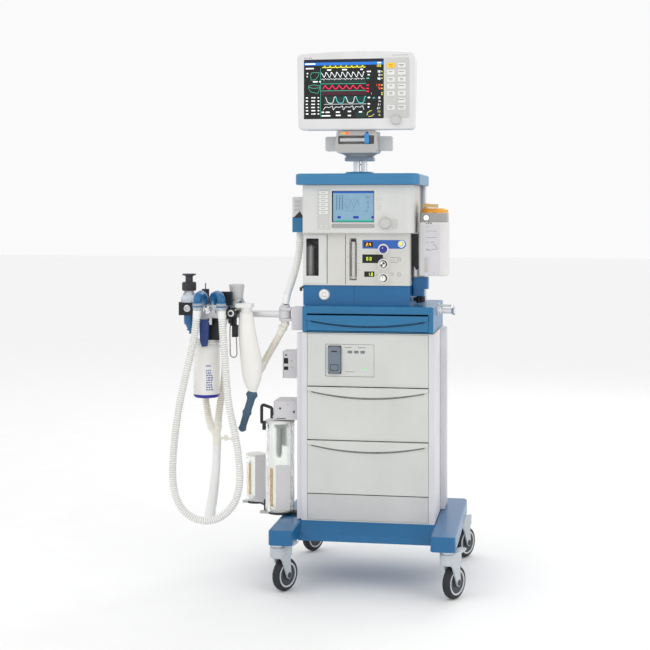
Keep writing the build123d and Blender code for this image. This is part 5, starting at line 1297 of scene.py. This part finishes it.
# ---------------------------------------------------------------- breathing arm
def make_arm_finishes():
    paint("arm_bracket", "box_grey")
    paint("swing_arm", "rail_metal",
          zone("box_grey", x=(-296, HIGH)),
          zone("plate_grey", x=(LOW, -409)),
          zone("hose_cream", x=(-300, HIGH), z=(LOW, 806)))
    paint("absorber_handle", "handle_blue")
    paint("apl_valve_knob", "apl_black")
    paint("bag_selector_knob", "knob_grey")
    paint("absorber_canister", "canister_white",
          zone("canister_rim", z=(LOW, 572)),
          zone("key_light", z=(722, HIGH)))

    paint("breathing_block", "cast_metal",
          zone("clear_cuff", y=(LOW, -140), z=(860, 873.5)),
          ("port_blue", lambda x, y, z, n: y < -102 and z >= 868 and (x < -477 or y < -119) and x > -550),
          zone("port_blue", x=(LOW, -550), y=(LOW, -55), z=(760, 822)),
          zone("black", x=(-612, -557), z=(826, 871)),
          zone("clear_cuff", x=(LOW, -553), z=(869, 906)),
          zone("soft_black", x=(-541, -515), y=(-92, -64), z=(864, 932)),
          zone("black", x=(-477, -433), y=(-119, -98), z=(863.5, 906)),
          zone("black", x=(-512, -469), y=(-133, -51), z=(LOW, 820.9)),
          zone("soft_black", x=(-449.5, -416), y=(LOW, -88), z=(822, 854)),
          zone("black", x=(-441, -413), y=(LOW, -99), z=(LOW, 829)),
          zone("chrome", x=(-521, -501), y=(LOW, -118.5), z=(834, 862)),
          zone("key_light", x=(-423, -365), y=(LOW, -79), z=(845, 868.5)),
          zone("hose_cream", x=(-415, HIGH), y=(-62, HIGH), z=(LOW, 847)),
          zone("key_light", x=(-563, -485), z=(LOW, 752)))


def make_breathing_details():
    trim = Shape("breathing_trim", "breathing_arm", "aluminium_profile")
    # chrome plug in front of the block
    trim.lathe((-511, -118, 846), (0.1, -1, 0.25),
               [(0, 12), (3, 12.6), (10, 12.6), (12, 10), (13, 7), (18, 7), (20, 5)],
               "chrome", around=36)
    # knurled nuts and caps
    trim.lathe((-547, -80, 846), LEFT, [(0, 14), (1, 16.5), (7, 16.5), (8, 14)], "steel", around=10)
    trim.lathe((-433, -126, 838), FRONT, [(-1, 15.4), (2, 16), (4, 15), (4, 12), (3, 11.4), (3, 7), (5, 6)],
               "soft_black", around=40)
    trim.lathe((-433, -129, 838), FRONT, [(0, 11), (1.0, 10.6), (1.2, 7)], "chrome", around=40)
    trim.lathe((-581.5, -104, 850), FRONT, [(-1, 11), (2, 11), (3, 9), (3, 6), (1.5, 5)], "steel", around=30)
    for x in LIMBS_X:
        trim.lathe((x, LIMBS_Y, 806), DOWN, [(0, 14), (2, 15), (8, 15), (10, 13), (26, 12.6), (27, 12)],
                   "clear_cuff",
                   around=36)
    for x, y in ((-540, -112), (-512, -112), (-540, -52), (-452, -52)):
        trim.lathe((x, y, 863), UP, [(0, 3.4), (2, 3.4), (2.6, 2.4), (2.6, 1)], "steel", around=6)
    # gauge-like port discs on the selector's plate
    trim.lathe((*SELECTOR, 870), UP, [(-2, 25), (3, 25), (5, 23.4)], "clear_cuff", around=40)
    trim.lathe((-410, -92, 870), UP, [(0, 4), (3, 4), (4, 3)], "soft_black", around=20)
    # canister clamp ring
    trim.lathe((*CANISTER, 738), UP, [(0, 40), (1, 42.6), (5, 42.6), (6, 39)], "key_light", around=56)
    trim.build()

    dome = Shape("valve_domes", "breathing_arm", "jar_clear")
    for x, y in ((-477, -70), (-505, -74)):
        dome.lathe((x, y, 862.5), UP, [(0, 12.5), (3, 12.5), (3.5, 11.4), (9, 10.6), (13, 8), (15, 3.5),
                                       (15.4, 0.2)],
                   "clear", around=36)
        dome.lathe((x, y, 863), UP, [(0, 9), (1.4, 9), (1.8, 8)], "knob_white", around=30)
    dome.build()

    ports = Shape("port_cuffs", "breathing_arm", "blue_paint")
    for x in PORTS_X:
        ports.lathe((x, PORTS_Y, 874), DOWN, [(0, 13.4), (1, 15.6), (3.5, 15.6), (4.2, 14.4)], "port_blue",
                    around=40)
        ports.lathe((x, PORTS_Y, 871.5), DOWN, [(0, 14.5), (1, 15.4), (9, 15.4), (22, 14), (24, 12.9)],
                    "clear_cuff",
                    around=40)
        ports.lathe((x, PORTS_Y, 862), DOWN, [(0, 15.8), (1, 16.4), (3, 16.4), (4, 15.4)], "plinth_blue",
                    around=40)
    ports.build()

    scavenger = Shape("scavenger_fitting", "breathing_arm", "blue_paint")
    lean = Vector((0.32, 0, -1)).normalized()
    start = Vector((*RELIEF_VALVE, 808))
    for along, radius in ((0, 18), (22, 15.2), (34, 12.4)):
        scavenger.lathe(start + lean * along, lean,
                        [(0, radius - 1.4), (1.2, radius), (4.6, radius), (6, radius - 1.4)],
                        "port_blue", around=36)
    scavenger.build()

    apl = Shape("apl_trim", "apl_valve", "dark_plastic")
    apl.lathe((*RELIEF_VALVE, 955), UP, [(0, 21.4), (1, 22), (3.6, 22), (4.6, 20.6)], "apl_black", around=40)
    for index in range(24):
        apl.lathe((*polar(*RELIEF_VALVE, 21.7, 15 * index), 909), UP,
                  [(0, 0.6), (1, 1.1), (19, 1.1), (20, 0.6)], "apl_black", around=8)
    apl.build()
    scale = Shape("apl_scale", "breathing_arm", "knob_plastic")
    for index in range(9):
        a = math.radians(200 + 17 * index)
        centre = Vector((*polar(*RELIEF_VALVE, 26.1, 200 + 17 * index), 872))
        side = Vector((-math.sin(a), math.cos(a), 0))
        out = Vector((math.cos(a), math.sin(a), 0)) * 0.15
        corners = [centre + side * 0.4 + out, centre - side * 0.4 + out]
        tall = 6 if index % 2 == 0 else 3.5
        points = [(c.x, c.y, c.z) for c in corners] + [(c.x, c.y, c.z + tall) for c in corners]
        scale.add(points, [(0, 1, 3, 2)], "print_dark")
    scale.build(smooth=False)

    selector = Shape("selector_pointer", "bag_selector", "light_moulding")
    selector.slab([(-429, -95.5), (-425, -95.5), (-426, -73), (-428, -73)], (927, 928.2), "plate_grey",
                  axis="z")
    selector.lathe((*SELECTOR, 926.6), UP, [(0, 22.6), (0.8, 22.2), (1.0, 20)], "knob_grey", around=40)
    selector.build()

    handle = Shape("absorber_handle_grip", "absorber_handle", "handle_blue")
    for index in range(6):
        z = 742 + 8 * index
        handle.slab(rounded((-528.5 + 0.2 * index, -508 + 0.6 * index), (z, z + 3), 1.4), (-139.1, -137.4),
                    "handle_blue")
    handle.lathe((-534.2, -132, 811), RIGHT, [(0, 4.4), (1.2, 5.2), (2, 5.2), (2.4, 4)], "steel", around=24)
    handle.build(bevel=0.4)


def make_canister_details():
    """Generic print and moulded rings that wrap round the canister."""
    wrap = Shape("canister_print", "absorber_canister", "canister_plastic")

    def patch(start, end, low, high, finish_name, lift=0.12):
        steps = max(1, int((end - start) / 5))
        for step in range(steps):
            a, b = (start + (end - start) * (step + k) / steps for k in (0, 1))
            first, last = (polar(*CANISTER, CANISTER_RADIUS + lift, angle) for angle in (a, b))
            points = [(*first, low), (*last, low), (*last, high), (*first, high)]
            wrap.add(points, [(0, 1, 2, 3)], finish_name)
    patch(196, 236, 583, 660, "key_light", 0.08)
    draw = random.Random(11)
    for row in range(9):
        z = 592 + 7.6 * row
        start = 283
        for _ in range(3):
            width = 4 + 7 * draw.random()
            patch(start, start + width, z, z + 4.4, "print_blue", 0.16)
            start += width + 2.5
    patch(281, 303, 668, 671.5, "print_blue", 0.16)
    patch(212, 217, 600, 603, "print_dark", 0.2)
    wrap.build(smooth=False)
    rings = Shape("canister_rings", "absorber_canister", "canister_plastic")
    rings.lathe((*CANISTER, 567.5), UP, [(0, 37.4), (3, 40.6), (7, 41.8), (9, 41.8), (10, 41.2)],
                "canister_rim",
                around=64, close=False)
    rings.lathe((*CANISTER, 715), UP, [(0, 41.4), (1, 42.2), (4, 42.2), (5, 41.4)], "canister_white",
                around=64,
                close=False)
    rings.build()


# CAD nodes whose sharp edges are rounded a little.
SOFTENED = ("top_shelf", "plinth_housing", "worktop", "worktop_drawer", "upper_drawer", "lower_drawer",
            "front_panels",
            "cabinet_shell", "gas_chassis", "flow_panel", "ventilator_door", "display_housing",
            "monitor_dock",
            "side_boxes", "side_rails", "base_frame", "jar_bracket", "arm_bracket", "breathing_block",
            "vaporizer_body", "outlet_block", "side_module", "rear_panel", "absorber_handle")


def main():
    make_camera()
    make_hoses()
    make_studio()
    make_bag()
    make_monitor_screen()
    make_monitor_trim()
    make_display()
    make_gas_panel()
    make_body_finishes()
    make_cabinet_details()
    make_caster_finishes()
    make_vaporizer()
    make_jars()
    make_side_boxes()
    make_arm_finishes()
    make_breathing_details()
    make_canister_details()
    for node in SOFTENED:
        soften(node)


main()
